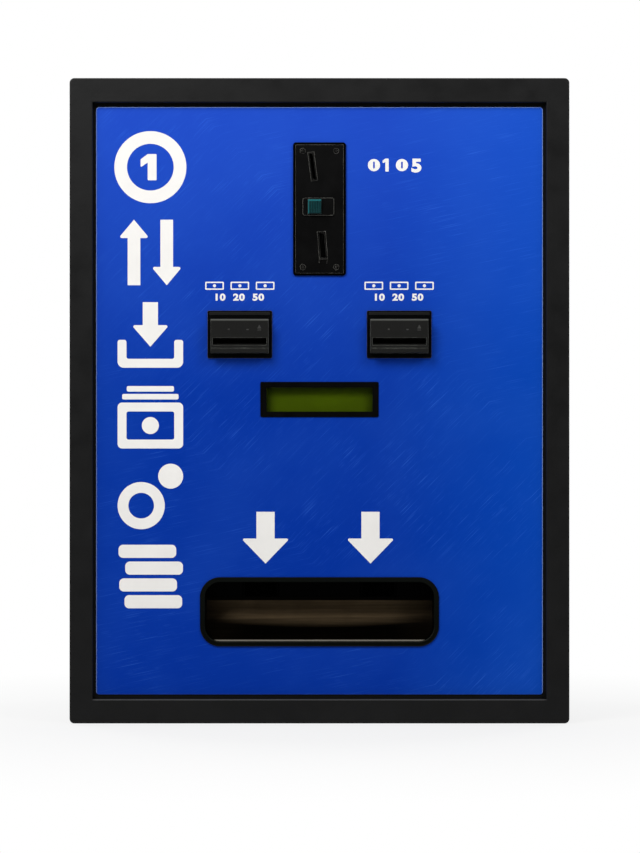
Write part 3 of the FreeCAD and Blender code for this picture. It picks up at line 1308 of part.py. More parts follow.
def build_hopper_base(label, side):
    """The hopper's lower housing: a well for the disc, a chamber for the motor and the coin exit."""
    body = new_body(label)
    half = S.hopper_width / 2
    top = S.hopper_base_height
    middle = S.hopper_length / 2
    floor = top - S.disc_sink
    pad(body, "housing", "XY", 0, top, rounded(-half, 0, half, S.hopper_length, S.hopper_corner))
    cut(body, "disc_well", "XY", floor, top, circle(0, middle, S.disc_radius + S.disc_gap))
    room = S.motor_size / 2 + S.motor_gap
    cut(body, "motor_chamber", "XY", 0, S.motor_height,
        rectangle(-room, middle - room, room, middle + room))
    cut(body, "shaft_bore", "XY", S.motor_height, floor, circle(0, middle, S.hopper_shaft + S.running_gap))
    exit_x = -side * (S.hopper_spacing / 2 - S.chute_side)
    cut(body, "coin_exit", "XZ", 0, middle, rectangle(
        exit_x - S.exit_width / 2, floor, exit_x + S.exit_width / 2, floor + S.exit_height))
    place(body, side * S.hopper_spacing / 2, S.hopper_front, SHELF_TOP)


def build_hopper_motor(label, side):
    body = new_body(label)
    middle = S.hopper_length / 2
    half = S.motor_size / 2
    pad(body, "gearbox", "XY", 0, S.motor_height, rounded(
        -half, middle - half, half, middle + half, S.motor_corner))
    cut(body, "output", "XY", S.motor_height / 2, S.motor_height,
        circle(0, middle, S.hopper_shaft + S.running_gap))
    place(body, side * S.hopper_spacing / 2, S.hopper_front, SHELF_TOP)


def build_hopper_disc(label, side):
    """The payout disc with its coin pockets, agitator and shaft."""
    body = new_body(label)
    middle = S.hopper_length / 2
    low = S.hopper_base_height - S.disc_sink + S.disc_lift
    top = low + S.disc_thickness
    count = round(S.pocket_count.value)
    turns = [360 / count * k for k in range(count)]
    pockets = [circle(S.pocket_circle * cosine(turn), middle + S.pocket_circle * sine(turn), S.pocket_radius)
               for turn in turns]
    pad(body, "disc", "XY", low, top, circle(0, middle, S.disc_radius), *pockets)
    pad(body, "shaft", "XY", S.motor_height / 2 + S.socket_gap, low, circle(0, middle, S.hopper_shaft))
    loft(body, "agitator", "Additive", (top, circle(0, middle, S.agitator_radius)),
         (top + S.agitator_height, circle(0, middle, S.hopper_shaft)))
    place(body, side * S.hopper_spacing / 2, S.hopper_front, SHELF_TOP)


def build_coin_bin(label, side):
    """The tapered bin that stands on the hopper base."""
    body = new_body(label)
    low = S.hopper_base_height
    high = HEAD_LOW - S.bin_headroom - SHELF_TOP
    wall, inset = S.bin_wall, S.bin_inset
    foot_half, foot_end = S.hopper_width / 2 - inset, S.hopper_length - inset
    top_half = S.bin_width / 2
    loft(body, "outside", "Additive", (low, rectangle(-foot_half, inset, foot_half, foot_end)),
         (high, rectangle(-top_half, 0, top_half, S.bin_length)))
    loft(body, "inside", "Subtractive",
         (low + wall, rectangle(-foot_half + wall, inset + wall, foot_half - wall, foot_end - wall)),
         (high, rectangle(-top_half + wall, wall, top_half - wall, S.bin_length - wall)))
    cut(body, "throat", "XY", low, low + wall, circle(0, S.hopper_length / 2, S.disc_radius))
    place(body, side * S.hopper_spacing / 2, S.hopper_front, SHELF_TOP)


def build_coin_box():
    """The open box for accepted coins, with ears for its bail handle."""
    body = new_body("coin_box")
    half, wall = S.box_half_width, S.box_wall
    pad(body, "box", "XY", INSIDE_LOW, BOX_TOP, rectangle(-half, S.box_front, half, BOX_BACK))
    cut(body, "inside", "XY", INSIDE_LOW + wall, BOX_TOP,
        rectangle(-half + wall, S.box_front + wall, half - wall, BOX_BACK - wall))
    inner = EAR_INSIDE
    size = S.ear_size
    for name, start in (("left_ear", -inner - S.ear_thickness), ("right_ear", inner)):
        pad(body, name, "YZ", start, start + S.ear_thickness,
            rectangle(BOX_BACK, BAIL_Z - size, BAIL_Y + size, BAIL_Z + size))
        cut(body, name + "_hole", "YZ", start, start + S.ear_thickness,
            circle(BAIL_Y, BAIL_Z, S.bail_radius + S.running_gap))


def build_coin_box_bail():
    """The wire handle, hanging down behind the coin box."""
    body = new_body("coin_box_bail")
    stub, half = EAR_INSIDE + S.ear_thickness, S.bail_width / 2
    low = BAIL_Z - S.bail_drop
    corners = [(-stub, BAIL_Z), (-half, BAIL_Z), (-half, low), (half, low), (half, BAIL_Z), (stub, BAIL_Z)]
    path = draw(body, "path", "XZ", BAIL_Y, [bent_wire(S.bail_bend, *corners)])
    wire = body.newObject("PartDesign::AdditivePipe", "wire")
    wire.Profile = draw(body, "section", "YZ", -stub, [circle(BAIL_Y, BAIL_Z, S.bail_radius)])
    wire.Spine = path
    body.Tip = wire


# Cabinet -------------------------------------------------------------------------------------------


def build_side_panel(label, side):
    """A side wall with its front and rear flanges and vent slots."""
    body = new_body(label)
    outer, inner = side * CABINET_HALF, side * INSIDE_HALF
    front_edge = side * (CABINET_HALF - S.front_flange)
    rear_edge = side * (CABINET_HALF - S.rear_flange)
    front, back, sheet = PLATE_BACK, CABINET_BACK, S.cabinet_sheet
    pad(body, "wall", "XY", CABINET_LOW, CABINET_HIGH, polygon(
        (outer, front), (front_edge, front), (front_edge, front + sheet), (inner, front + sheet),
        (inner, back - sheet), (rear_edge, back - sheet), (rear_edge, back), (outer, back)))
    cut(body, "stud_holes", "XZ", front, front + sheet,
        *[circle(x, z, S.stud_radius + S.stud_clearance) for x, z in STUDS[:6] if x.value * side > 0])
    wall_low, wall_high = (outer, inner) if side < 0 else (inner, outer)
    slots = []
    for row in range(round(S.vent_count.value)):
        top = CABINET_HIGH - S.vent_drop - row * S.vent_pitch
        end = back - S.vent_inset
        slots.append(rectangle(end - S.vent_length, top - S.vent_width, end, top))
    cut(body, "vents", "YZ", wall_low, wall_high, *slots)
    if side > 0:
        half, rise = S.inlet_body_length / 2 + S.fit_gap, S.inlet_body_height / 2 + S.fit_gap
        cut(body, "inlet_hole", "YZ", wall_low, wall_high, rectangle(
            INLET_Y - half, S.inlet_height - rise, INLET_Y + half, S.inlet_height + rise))
        posts = [circle(y, z, S.standoff_radius) for y, z in control_board_corners()]
        pad(body, "board_standoffs", "YZ", INSIDE_HALF - S.control_standoff, INSIDE_HALF, *posts)


def build_end_panel(label, upper):
    """The top or the base of the cabinet, between the side panels."""
    body = new_body(label)
    sheet = S.cabinet_sheet
    front, back = PLATE_BACK, CABINET_BACK
    if upper:
        low, high = CABINET_HIGH - sheet, CABINET_HIGH
        front_low, front_high = CABINET_HIGH - S.front_flange, CABINET_HIGH
        rear_low, rear_high = CABINET_HIGH - S.rear_flange, CABINET_HIGH
    else:
        low, high = CABINET_LOW, INSIDE_LOW
        front_low, front_high = CABINET_LOW, CABINET_LOW + S.front_flange
        rear_low, rear_high = CABINET_LOW, CABINET_LOW + S.rear_flange
    holes = []
    if not upper:
        holes = [circle(a * S.bolt_across / 2, y, S.bolt_hole)
                 for a in (-1, 1) for y in (S.bolt_front, back - S.bolt_setback)]
    pad(body, "sheet", "XY", low, high,
        rectangle(-INSIDE_HALF, front + sheet, INSIDE_HALF, back - sheet), *holes)
    level = STUD_HIGH if upper else STUD_LOW
    front_half = CABINET_HALF - S.front_flange
    rear_half = CABINET_HALF - S.rear_flange
    pad(body, "front_flange", "XZ", front, front + sheet,
        rectangle(-front_half, front_low, front_half, front_high),
        *[circle(a * S.stud_across, level, S.stud_radius + S.stud_clearance) for a in (-1, 1)])
    pad(body, "rear_flange", "XZ", back - sheet, back,
        rectangle(-rear_half, rear_low, rear_half, rear_high))


def build_feet():
    """Four pads under the base, as high as the trim laps below the cabinet."""
    body = new_body("feet")
    x = CABINET_HALF - S.foot_inset
    places = [(a * x, y) for a in (-1, 1) for y in (S.foot_front, CABINET_BACK - S.foot_setback)]
    pad(body, "pads", "XY", 0, CABINET_LOW, *[circle(x, y, S.foot_radius) for x, y in places])
    ease(body, "pad_edges", S.foot_chamfer, lambda box: box.ZMax < 0.01, "Chamfer")


def build_hopper_shelf():
    """The shelf across the cabinet, with folded edges and an angle rail beside each hopper's sides."""
    body = new_body("hopper_shelf")
    sheet = S.cabinet_sheet
    low = SHELF_TOP - sheet
    fold = low - S.shelf_fold
    front, back = S.shelf_front, CABINET_BACK - S.shelf_setback
    pad(body, "sheet", "YZ", -INSIDE_HALF, INSIDE_HALF, polygon(
        (front, fold), (front + sheet, fold), (front + sheet, low), (back - sheet, low),
        (back - sheet, fold), (back, fold), (back, SHELF_TOP), (front, SHELF_TOP)))
    start, end = S.hopper_front, S.hopper_front + S.hopper_length
    uprights, feet = [], []
    for side in (-1, 1):
        for hand in (-1, 1):
            near = side * S.hopper_spacing / 2 + hand * (S.hopper_width / 2 + S.rail_gap)
            step, far = near + hand * S.rail_sheet, near + hand * S.rail_width
            uprights.append(rectangle(*in_order(hand, near, step, start, end)))
            feet.append(rectangle(*in_order(hand, step, far, start, end)))
    pad(body, "rail_uprights", "XY", SHELF_TOP, SHELF_TOP + S.rail_height, *uprights)
    pad(body, "rail_feet", "XY", SHELF_TOP, SHELF_TOP + S.rail_sheet, *feet)


def in_order(hand, near, far, low, high):
    """The sides of a rectangle from near to far, which lies to the right or, for hand -1, the left."""
    return (near, low, far, high) if hand > 0 else (far, low, near, high)


# Electronics ---------------------------------------------------------------------------------------


def control_board_corners():
    inset = S.control_inset
    return [(CONTROL_FRONT + a, CONTROL_LOW + b)
            for a in (inset, S.control_length - inset) for b in (inset, S.control_height - inset)]


def build_control_board():
    """The board on its standoffs, with its larger components."""
    body = new_body("control_board")
    face = INSIDE_HALF - S.control_standoff
    front = face - S.board_thickness
    y, z = CONTROL_FRONT, CONTROL_LOW
    long, tall = S.control_length, S.control_height
    pad(body, "board", "YZ", front, face, rectangle(y, z, y + long, z + tall))
    margin, wide = S.component_margin, S.component_width
    rows = (("connectors", S.connector_count, z + margin, S.connector_height),
            ("relays", S.relay_count, z + tall - S.relay_margin - S.relay_height, S.relay_height))
    for name, count, level, size in rows:
        starts = [y + margin + S.component_pitch * k for k in range(round(count.value))]
        pad(body, name, "YZ", front - size, front,
            *[rectangle(start, level, start + wide, level + size) for start in starts])
    half = S.processor_size / 2
    pad(body, "processor", "YZ", front - S.processor_depth, front, rectangle(
        y + long / 2 - half, z + tall / 2 - half, y + long / 2 + half, z + tall / 2 + half))


def build_power_supply():
    body = new_body("power_supply")
    y = CABINET_BACK - S.supply_setback - S.supply_depth
    z = CABINET_HIGH - S.supply_drop - S.supply_height
    pad(body, "case", "XZ", y, y + S.supply_depth, rounded(
        -INSIDE_HALF, z, -INSIDE_HALF + S.supply_width, z + S.supply_height, S.supply_corner))
    middle, half = -INSIDE_HALF + S.supply_width / 2, S.grille_length / 2
    levels = [z + S.grille_pitch * (k + 1) for k in range(round(S.grille_count.value))]
    cut(body, "grille", "XZ", y, y + S.grille_depth, *[
        rectangle(middle - half, level, middle + half, level + S.grille_width) for level in levels])


def build_power_inlet():
    """The mains socket with its contacts, and the well of the rocker switch beside it."""
    body = new_body("power_inlet")
    y, z = INLET_Y, S.inlet_height
    half, rise = S.inlet_flange_length / 2, S.inlet_flange_height / 2
    outside = CABINET_HALF + S.inlet_flange
    inside = CABINET_HALF - S.inlet_depth
    pad(body, "flange", "YZ", CABINET_HALF, outside,
        rounded(y - half, z - rise, y + half, z + rise, S.inlet_corner))
    pad(body, "body", "YZ", inside, CABINET_HALF, rectangle(
        y - S.inlet_body_length / 2, z - S.inlet_body_height / 2,
        y + S.inlet_body_length / 2, z + S.inlet_body_height / 2))
    socket_y = y - S.socket_offset
    floor = outside - S.socket_depth
    cut(body, "socket", "YZ", floor, outside, rectangle(
        socket_y - S.socket_length / 2, z - S.socket_height / 2,
        socket_y + S.socket_length / 2, z + S.socket_height / 2))
    blade, tall = S.contact_thickness / 2, S.contact_height / 2
    places = [socket_y + k * S.contact_pitch for k in (-1, 0, 1)]
    pad(body, "contacts", "YZ", floor, floor + S.contact_length,
        *[rectangle(place - blade, z - tall, place + blade, z + tall) for place in places])
    gap = S.rocker_gap
    cut(body, "rocker_well", "YZ", outside - S.rocker_sink, outside, rectangle(
        ROCKER_Y - S.rocker_length / 2 - gap, z - S.rocker_height / 2 - gap,
        ROCKER_Y + S.rocker_length / 2 + gap, z + S.rocker_height / 2 + gap))
    reach = ROCKER_PIN_REACH + S.rocker_pin_gap
    cut(body, "rocker_bearings", "XY", z - reach, z + reach,
        circle(ROCKER_X, ROCKER_Y, S.rocker_pin + S.running_gap))


def build_power_rocker():
    """The rocker, tilted to its off side, with the trunnions that it turns on, along z."""
    body = new_body("power_rocker")
    y, z = ROCKER_Y, S.inlet_height
    face = CABINET_HALF + S.inlet_flange
    half = S.rocker_length / 2 - 2 * S.rocker_gap
    low, foot = face - S.rocker_depth, half - S.rocker_taper
    pad(body, "key", "XY", z - S.rocker_height / 2, z + S.rocker_height / 2, polygon(
        (low, y - foot), (face + S.rocker_rise, y - half), (face, y), (face - S.rocker_dip, y + half),
        (low, y + foot)))
    pad(body, "trunnions", "XY", z - ROCKER_PIN_REACH, z + ROCKER_PIN_REACH,
        circle(ROCKER_X, y, S.rocker_pin))


# Rear door -----------------------------------------------------------------------------------------


def build_rear_door():
    """The door pan, with its welded guides for the latch rods."""
    body = new_body("rear_door")
    half, low, high, sheet = DOOR_HALF, DOOR_LOW, DOOR_HIGH, S.door_sheet
    shaft = circle(HANDLE_X, MIDDLE, S.handle_shaft + S.shaft_clearance)
    pad(body, "skin", "XZ", DOOR_BACK - sheet, DOOR_BACK, rectangle(-half, low, half, high), shaft)
    pad(body, "edges", "XZ", DOOR_FRONT, DOOR_BACK - sheet, rectangle(-half, low, half, high),
        rectangle(-half + sheet, low + sheet, half - sheet, high - sheet))
    gap, guide_half, slot_half = S.guide_gap, S.guide_width / 2, S.rod_width / 2 + S.guide_gap
    sets = (("upper", UPPER_ROD_FRONT, MIDDLE, DOOR_HIGH, (MIDDLE + S.guide_near, DOOR_HIGH - S.guide_end)),
            ("lower", LOWER_ROD_FRONT, DOOR_LOW, MIDDLE, (MIDDLE - S.guide_near, DOOR_LOW + S.guide_end)))
    for name, front, bottom, ceiling, levels in sets:
        pad(body, name + "_guides", "XZ", front - gap - S.guide_lip, DOOR_BACK - sheet, *[
            rectangle(HANDLE_X - guide_half, z - S.guide_height / 2, HANDLE_X + guide_half,
                      z + S.guide_height / 2) for z in levels])
        cut(body, name + "_slots", "XY", bottom, ceiling, rectangle(
            HANDLE_X - slot_half, front - gap, HANDLE_X + slot_half, front + S.rod_thickness + gap))
    top = DOOR_HIGH - S.vent_drop
    places = [(column * S.door_vent_pitch, top - row * S.vent_pitch)
              for column in (-1, 0, 1) for row in range(round(S.door_vent_count.value))]
    cut(body, "vents", "XZ", DOOR_BACK - sheet, DOOR_BACK, *[
        rectangle(x - S.vent_length / 2, z - S.vent_width, x + S.vent_length / 2, z) for x, z in places])


def hinge_levels():
    return [MIDDLE - S.hinge_rise, MIDDLE, MIDDLE + S.hinge_rise]


def build_cabinet_hinge_leaves():
    """The leaves on the cabinet's side, each with its two outer knuckles."""
    body = new_body("hinge_leaves_cabinet")
    length, gap = S.knuckle_length, S.knuckle_gap
    wall = -CABINET_HALF
    edge = HINGE_Y - S.knuckle_radius - gap
    knuckle = circle(HINGE_X, HINGE_Y, S.knuckle_radius)
    bore = circle(HINGE_X, HINGE_Y, S.hinge_pin + S.running_gap)
    for n, z in enumerate(hinge_levels()):
        low, high = z - length * 3 / 2, z + length * 3 / 2
        pad(body, f"leaf{n}", "XY", low, high,
            rectangle(wall - S.hinge_leaf, edge - S.hinge_leaf_length, wall, edge))
        for m, (start, end) in enumerate(((low, z - length / 2 - gap), (z + length / 2 + gap, high))):
            pad(body, f"neck{n}{m}", "XY", start, end,
                rectangle(wall - S.hinge_leaf, edge, wall, HINGE_Y - gap))
            pad(body, f"knuckle{n}{m}", "XY", start, end, knuckle)
    cut(body, "bore", "XY", CABINET_LOW, CABINET_HIGH, bore)


def build_door_hinge_leaves():
    """The leaves on the door's edge, each with its middle knuckle."""
    body = new_body("hinge_leaves_door")
    length = S.knuckle_length
    wall = -DOOR_HALF
    bore = circle(HINGE_X, HINGE_Y, S.hinge_pin + S.running_gap)
    for n, z in enumerate(hinge_levels()):
        low, high = z - length * 3 / 2, z + length * 3 / 2
        pad(body, f"leaf{n}", "XY", low, high,
            rectangle(wall - S.hinge_leaf, DOOR_FRONT + S.hinge_leaf, wall, DOOR_BACK - S.hinge_leaf))
        start, end = z - length / 2, z + length / 2
        pad(body, f"neck{n}", "XY", start, end,
            rectangle(HINGE_X, HINGE_Y, wall, DOOR_FRONT + S.hinge_leaf))
        pad(body, f"knuckle{n}", "XY", start, end, circle(HINGE_X, HINGE_Y, S.knuckle_radius))
    cut(body, "bore", "XY", CABINET_LOW, CABINET_HIGH, bore)


def build_hinge_pins():
    body = new_body("hinge_pins")
    length = S.knuckle_length
    for n, z in enumerate(hinge_levels()):
        pad(body, f"pin{n}", "XY", z - length * 3 / 2, z + length * 3 / 2,
            circle(HINGE_X, HINGE_Y, S.hinge_pin))


def build_handle_escutcheon():
    body = new_body("handle_escutcheon")
    half, rise = S.escutcheon_width / 2, S.escutcheon_height / 2
    pad(body, "plate", "XZ", DOOR_BACK, DOOR_BACK + S.escutcheon_thickness, rounded(
        HANDLE_X - half, MIDDLE - rise, HANDLE_X + half, MIDDLE + rise, S.escutcheon_corner),
        circle(HANDLE_X, MIDDLE, S.handle_shaft + S.running_gap))


def build_door_handle():
    """The T-handle with its shaft through the door, set to the unlocked side."""
    body = new_body("door_handle")
    bar = HANDLE_SEAT + S.grip_stand
    half, rise = S.grip_length / 2, S.grip_face / 2
    pad(body, "shaft", "XZ", CAM_FRONT, HANDLE_SEAT, circle(HANDLE_X, MIDDLE, S.handle_shaft))
    pad(body, "neck", "XZ", HANDLE_SEAT, bar, circle(HANDLE_X, MIDDLE, S.neck_radius))
    pad(body, "bar", "XZ", bar, HANDLE_END, rounded(
        HANDLE_X - half, MIDDLE - rise, HANDLE_X + half, MIDDLE + rise, S.handle_corner))
    pad(body, "boss", "XZ", bar, HANDLE_END, circle(HANDLE_X, MIDDLE, S.neck_radius))
    cut(body, "lock_bore", "XZ", PLUG_SEAT, HANDLE_END,
        circle(HANDLE_X, MIDDLE, S.plug_radius + S.running_gap))


def build_lock_plug():
    """The key plug in the middle of the handle."""
    body = new_body("lock_plug")
    end = HANDLE_END + S.plug_proud
    pad(body, "plug", "XZ", PLUG_SEAT + S.plug_gap, end, circle(HANDLE_X, MIDDLE, S.plug_radius))
    wide, tall = S.keyway_width / 2, S.keyway_height / 2
    cut(body, "keyway", "XZ", end - S.keyway_depth, end,
        rectangle(HANDLE_X - wide, MIDDLE - tall, HANDLE_X + wide, MIDDLE + tall))


def build_latch_cam():
    """The cam on the inner end of the handle's shaft, with a pin for each rod."""
    body = new_body("latch_cam")
    pad(body, "disc", "XZ", CAM_FRONT, CAM_BACK, circle(HANDLE_X, MIDDLE, S.cam_radius),
        circle(HANDLE_X, MIDDLE, S.handle_shaft + S.running_gap))
    for name, side, front in (("upper_pin", -1, UPPER_ROD_FRONT), ("lower_pin", 1, LOWER_ROD_FRONT)):
        pad(body, name, "XZ", front, CAM_FRONT,
            circle(HANDLE_X + side * S.cam_throw, MIDDLE, S.cam_pin))


def build_latch_rod(label, side):
    """A flat rod with a window for its cam pin. side is 1 for the upper rod, -1 for the lower."""
    body = new_body(label)
    front = UPPER_ROD_FRONT if side > 0 else LOWER_ROD_FRONT
    back = front + S.rod_thickness
    tip = CABINET_HIGH - S.rear_flange - S.rod_clear
    if side < 0:
        tip = CABINET_LOW + S.rear_flange + S.rod_clear
    middle = HANDLE_X - side * S.cam_throw / 2
    window_half = S.cam_throw / 2 + S.cam_pin + S.cam_gap
    window_rise = S.yoke_height / 2
    frame_half, frame_rise = window_half + S.yoke_border, window_rise + S.yoke_border
    near = MIDDLE + side * frame_rise
    low, high = (near, tip) if side > 0 else (tip, near)
    pad(body, "yoke", "XZ", front, back, rectangle(
        middle - frame_half, MIDDLE - frame_rise, middle + frame_half, MIDDLE + frame_rise))
    pad(body, "rod", "XZ", front, back,
        rectangle(HANDLE_X - S.rod_width / 2, low, HANDLE_X + S.rod_width / 2, high))
    cut(body, "window", "XZ", front, back, rectangle(
        middle - window_half, MIDDLE - window_rise, middle + window_half, MIDDLE + window_rise))


# Assembly ------------------------------------------------------------------------------------------


def build_front():
    build_trim_frame()
    build_trim_nuts()
    build_face_plate()
    build_graphic_overlay()
    build_display()
    build_acceptor_faceplate()
    build_acceptor_screws()
    build_return_button()
    build_button_spring()
    build_return_lever()
    build_acceptor_body()
    build_coin_drop_tube()
    build_coin_cup()
    build_scoop_plate()


def build_pairs():
    """What there is once on the left and once on the right."""
    for hand, side in (("left", -1), ("right", 1)):
        build_note_bezel(f"note_bezel_{hand}", side)
        build_reader_head(f"reader_head_{hand}", side)
        build_roller(f"drive_roller_{hand}", side, NOTE_SLOT - ROLLER_OFFSET)
        build_roller(f"idler_roller_{hand}", side, NOTE_SLOT + ROLLER_OFFSET)
        build_cassette(f"note_cassette_{hand}", side)
        build_cassette_door(f"cassette_door_{hand}", side)
        build_payout_chute(f"payout_chute_{hand}", side)
        build_hopper_base(f"hopper_base_{hand}", side)
        build_hopper_motor(f"hopper_motor_{hand}", side)
        build_hopper_disc(f"hopper_disc_{hand}", side)
        build_coin_bin(f"coin_bin_{hand}", side)
        build_side_panel(f"side_panel_{hand}", side)


def build_cabinet():
    build_end_panel("top_panel", True)
    build_end_panel("base_panel", False)
    build_feet()
    build_hopper_shelf()
    build_coin_box()
    build_coin_box_bail()
    build_control_board()
    build_power_supply()
    build_power_inlet()
    build_power_rocker()


def build_door():
    build_rear_door()
    build_cabinet_hinge_leaves()
    build_door_hinge_leaves()
    build_hinge_pins()
    build_handle_escutcheon()
    build_door_handle()
    build_lock_plug()
    build_latch_cam()
    build_latch_rod("latch_rod_upper", 1)
    build_latch_rod("latch_rod_lower", -1)


def check_document():
    """Stops if anything failed to build, or if a cut took nothing away."""
    failed = [o.Label for o in DOC.Objects if {"Invalid", "Error"} & set(o.State)]
    if failed:
        raise RuntimeError(f"these failed to build: {failed}")
    for feature in DOC.Objects:
        if feature.TypeId == "PartDesign::Pocket":
            before = feature.BaseFeature.Shape.Volume
            if before - feature.Shape.Volume < 0.01:
                owner = feature.getParentGeoFeatureGroup().Label
                raise RuntimeError(f"{feature.Label} of {owner} cuts nothing")


def sub_parts():
    return [o for o in DOC.Objects
            if o.TypeId == "PartDesign::Body" or (o.TypeId == "Part::Feature" and not o.InList)]


def export_parts():
    """Writes each sub-part's solids to a file named after it."""
    os.makedirs("parts", exist_ok=True)
    for piece in sub_parts():
        shape = piece.Shape
        if shape.isNull() or not shape.isValid() or not shape.Solids:
            raise RuntimeError(f"{piece.Label} has no valid solid")
        shape.exportStep(f"parts/{piece.Label}.step")


build_front()
build_pairs()
build_cabinet()
build_door()
DOC.recompute()
check_document()
export_parts()
print(f"{len(sub_parts())} parts written")
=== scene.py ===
"""Finishes a coin changer that is built into a wall, and sets it in a plain studio.

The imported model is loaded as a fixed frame. One operator finishes each piece of the machine, or each
group of like pieces, and the last one makes the studio. Lengths are in metres: x runs to the right as
the customer sees it, y into the wall and z up.
"""

import math

import bmesh
import bpy
from mathutils import Matrix, Vector


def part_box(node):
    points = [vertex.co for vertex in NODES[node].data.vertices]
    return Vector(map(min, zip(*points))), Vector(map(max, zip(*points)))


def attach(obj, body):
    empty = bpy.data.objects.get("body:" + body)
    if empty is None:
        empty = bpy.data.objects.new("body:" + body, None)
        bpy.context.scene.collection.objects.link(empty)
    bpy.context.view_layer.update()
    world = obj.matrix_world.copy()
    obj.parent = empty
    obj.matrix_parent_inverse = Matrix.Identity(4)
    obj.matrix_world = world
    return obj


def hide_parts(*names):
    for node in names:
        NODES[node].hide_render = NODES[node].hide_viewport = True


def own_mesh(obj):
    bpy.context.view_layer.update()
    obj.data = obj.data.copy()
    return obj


bl_info = {
    "name": "Coin changer finish",
    "version": (1, 0, 0),
    "blender": (4, 5, 0),
    "location": "3D View > Sidebar > Changer",
    "description": "Materials, prints, fasteners and studio for a wall-built coin changer",
    "category": "Object",
}

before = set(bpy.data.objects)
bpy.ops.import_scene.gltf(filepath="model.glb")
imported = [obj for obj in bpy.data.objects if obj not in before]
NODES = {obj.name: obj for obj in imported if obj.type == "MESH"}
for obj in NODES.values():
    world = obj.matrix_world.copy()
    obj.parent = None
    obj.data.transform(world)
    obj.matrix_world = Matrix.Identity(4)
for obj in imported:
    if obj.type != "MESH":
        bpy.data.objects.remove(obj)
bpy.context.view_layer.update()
SIDES = ("left", "right")
MILLIMETRE = 0.001
# From the edge of the panel film to the trim's opening
TRIM_GAP = 5.5 * MILLIMETRE
# From the sides of the trim to the ends of the painted highlight along its opening
LINE_INSET = 30 * MILLIMETRE
# The coin entry and the coin return: centre across and up, width, height, lean to the left
COIN_SLOTS = ((-0.0092, 0.747, 0.0044, 0.034, math.radians(7.5)),
              (0.004, 0.641, 0.0068, 0.033, math.radians(4.6)))
# Over which the painted shade of a coin slot fades into the enamel around it
SLOT_BLUR = 0.2 * MILLIMETRE
# How far from the panel's middle its strokes run straight, along their length
STROKES_STRAIGHT = 0.16
BOARD_THICKNESS = 1.6 * MILLIMETRE
FASTENER_SEED = 3
CHIP_SEED = 11


# Settings ------------------------------------------------------------------------------------------


def srgb(red, green, blue):
    """A colour written from 0 to 255, as the linear values that Blender keeps."""
    def linear(level):
        value = level / 255
        return value / 12.92 if value <= 0.04045 else ((value + 0.055) / 1.055) ** 2.4
    return linear(red), linear(green), linear(blue)


# Colours that a user has no need to change
# Near black laid as painted shade inside the payout cup and in the acceptor's coin slots
PAINTED_SHADE = srgb(1, 1, 1)
SOLDER = srgb(150, 148, 138)
HOLE_PLATING = srgb(168, 160, 120)
WINDOW = srgb(8, 10, 6)
WINDOW_HAZE = srgb(20, 22, 16)


def colour(name, description, red, green, blue):
    return bpy.props.FloatVectorProperty(
        name=name, description=description, default=srgb(red, green, blue), size=3,
        min=0, max=1, subtype="COLOR")


def length(name, description, millimetres):
    return bpy.props.FloatProperty(
        name=name, description=description, default=millimetres * MILLIMETRE, min=0, unit="LENGTH")


def share(name, description, default):
    return bpy.props.FloatProperty(
        name=name, description=description, default=default, min=0, max=1, subtype="FACTOR")


def number(name, description, default):
    return bpy.props.IntProperty(name=name, description=description, default=default, min=1)


def power(name, description, default):
    return bpy.props.FloatProperty(
        name=name, description=description, default=default, min=0, unit="POWER")


class FrontColours(bpy.types.PropertyGroup):
    trim: colour("Trim", "Powder coat of the trim frame", 13, 13, 13)
    panel: colour("Panel", "Printed blue of the panel", 0, 46, 146)
    # The panel's blue lightened towards the top: painted light
    panel_lit_top: colour("Panel, top", "Printed blue at the top of the panel", 24, 66, 177)
    # The panel's blue lightened towards the right side: painted light
    panel_lit_right: colour("Panel, right", "Printed blue along the panel's right side", 6, 92, 205)
    panel_stroke: colour("Panel strokes", "Light strokes in the panel's print", 60, 120, 225)
    # Painted highlight on the film's cut edges
    panel_edge_highlight: colour("Panel edge", "Cut edge of the printed film", 165, 190, 232)
    ink: colour("Ink", "White ink of symbols, numerals and arrows", 224, 222, 218)
    acceptor: colour("Acceptor", "Painted die casting of the coin acceptor", 8, 8, 8)
    # Painted highlight along the edges of the acceptor's raised field
    acceptor_edge_highlight: colour("Acceptor edges", "Metal showing at the acceptor's edges", 142, 141, 135)
    screw: colour("Screws", "Blackened screws of the acceptor", 3, 3, 3)
    # Painted glints on the screw heads
    screw_glint: colour("Screw edges", "Rims and recesses of the acceptor's screws", 176, 174, 168)
    button: colour("Button", "Coin return button", 1, 24, 26)
    # Painted highlight: the ribs lighter than the button's face
    button_rib: colour("Button ribs", "Ribs on the coin return button", 8, 50, 52)
    bezel: colour("Bezels", "Moulded plastic of the note and display bezels", 2, 2, 2)
    snout: colour("Bezel snouts", "Snouts of the note bezels, polished by hands", 26, 26, 25)
    # Painted highlight on the edges of the note bezels
    bezel_edge_highlight: colour("Bezel edges", "Shiny edges of the note bezels", 118, 120, 114)
    display: colour("Display", "Liquid crystal field", 62, 80, 1)
    cup: colour("Cup", "Moulded plastic of the payout cup", 4, 5, 4)
    # Painted highlight along the cup's lower inner edge
    cup_edge_highlight: colour("Cup edge", "Inner edge of the cup, polished by coins", 120, 118, 110)
    # Brown steel whose band stands in for a reflection: painted reflection
    scoop: colour("Scoop", "Worn steel of the scoop plate", 79, 66, 48)
    # Pale, dull lip: painted highlight
    scoop_lip_highlight: colour("Scoop lip", "Dull lip of the scoop plate", 120, 116, 106)
    # Near black as painted shade in the top of the cup
    chute: colour("Chutes", "Blackened payout chutes", 4, 4, 4)


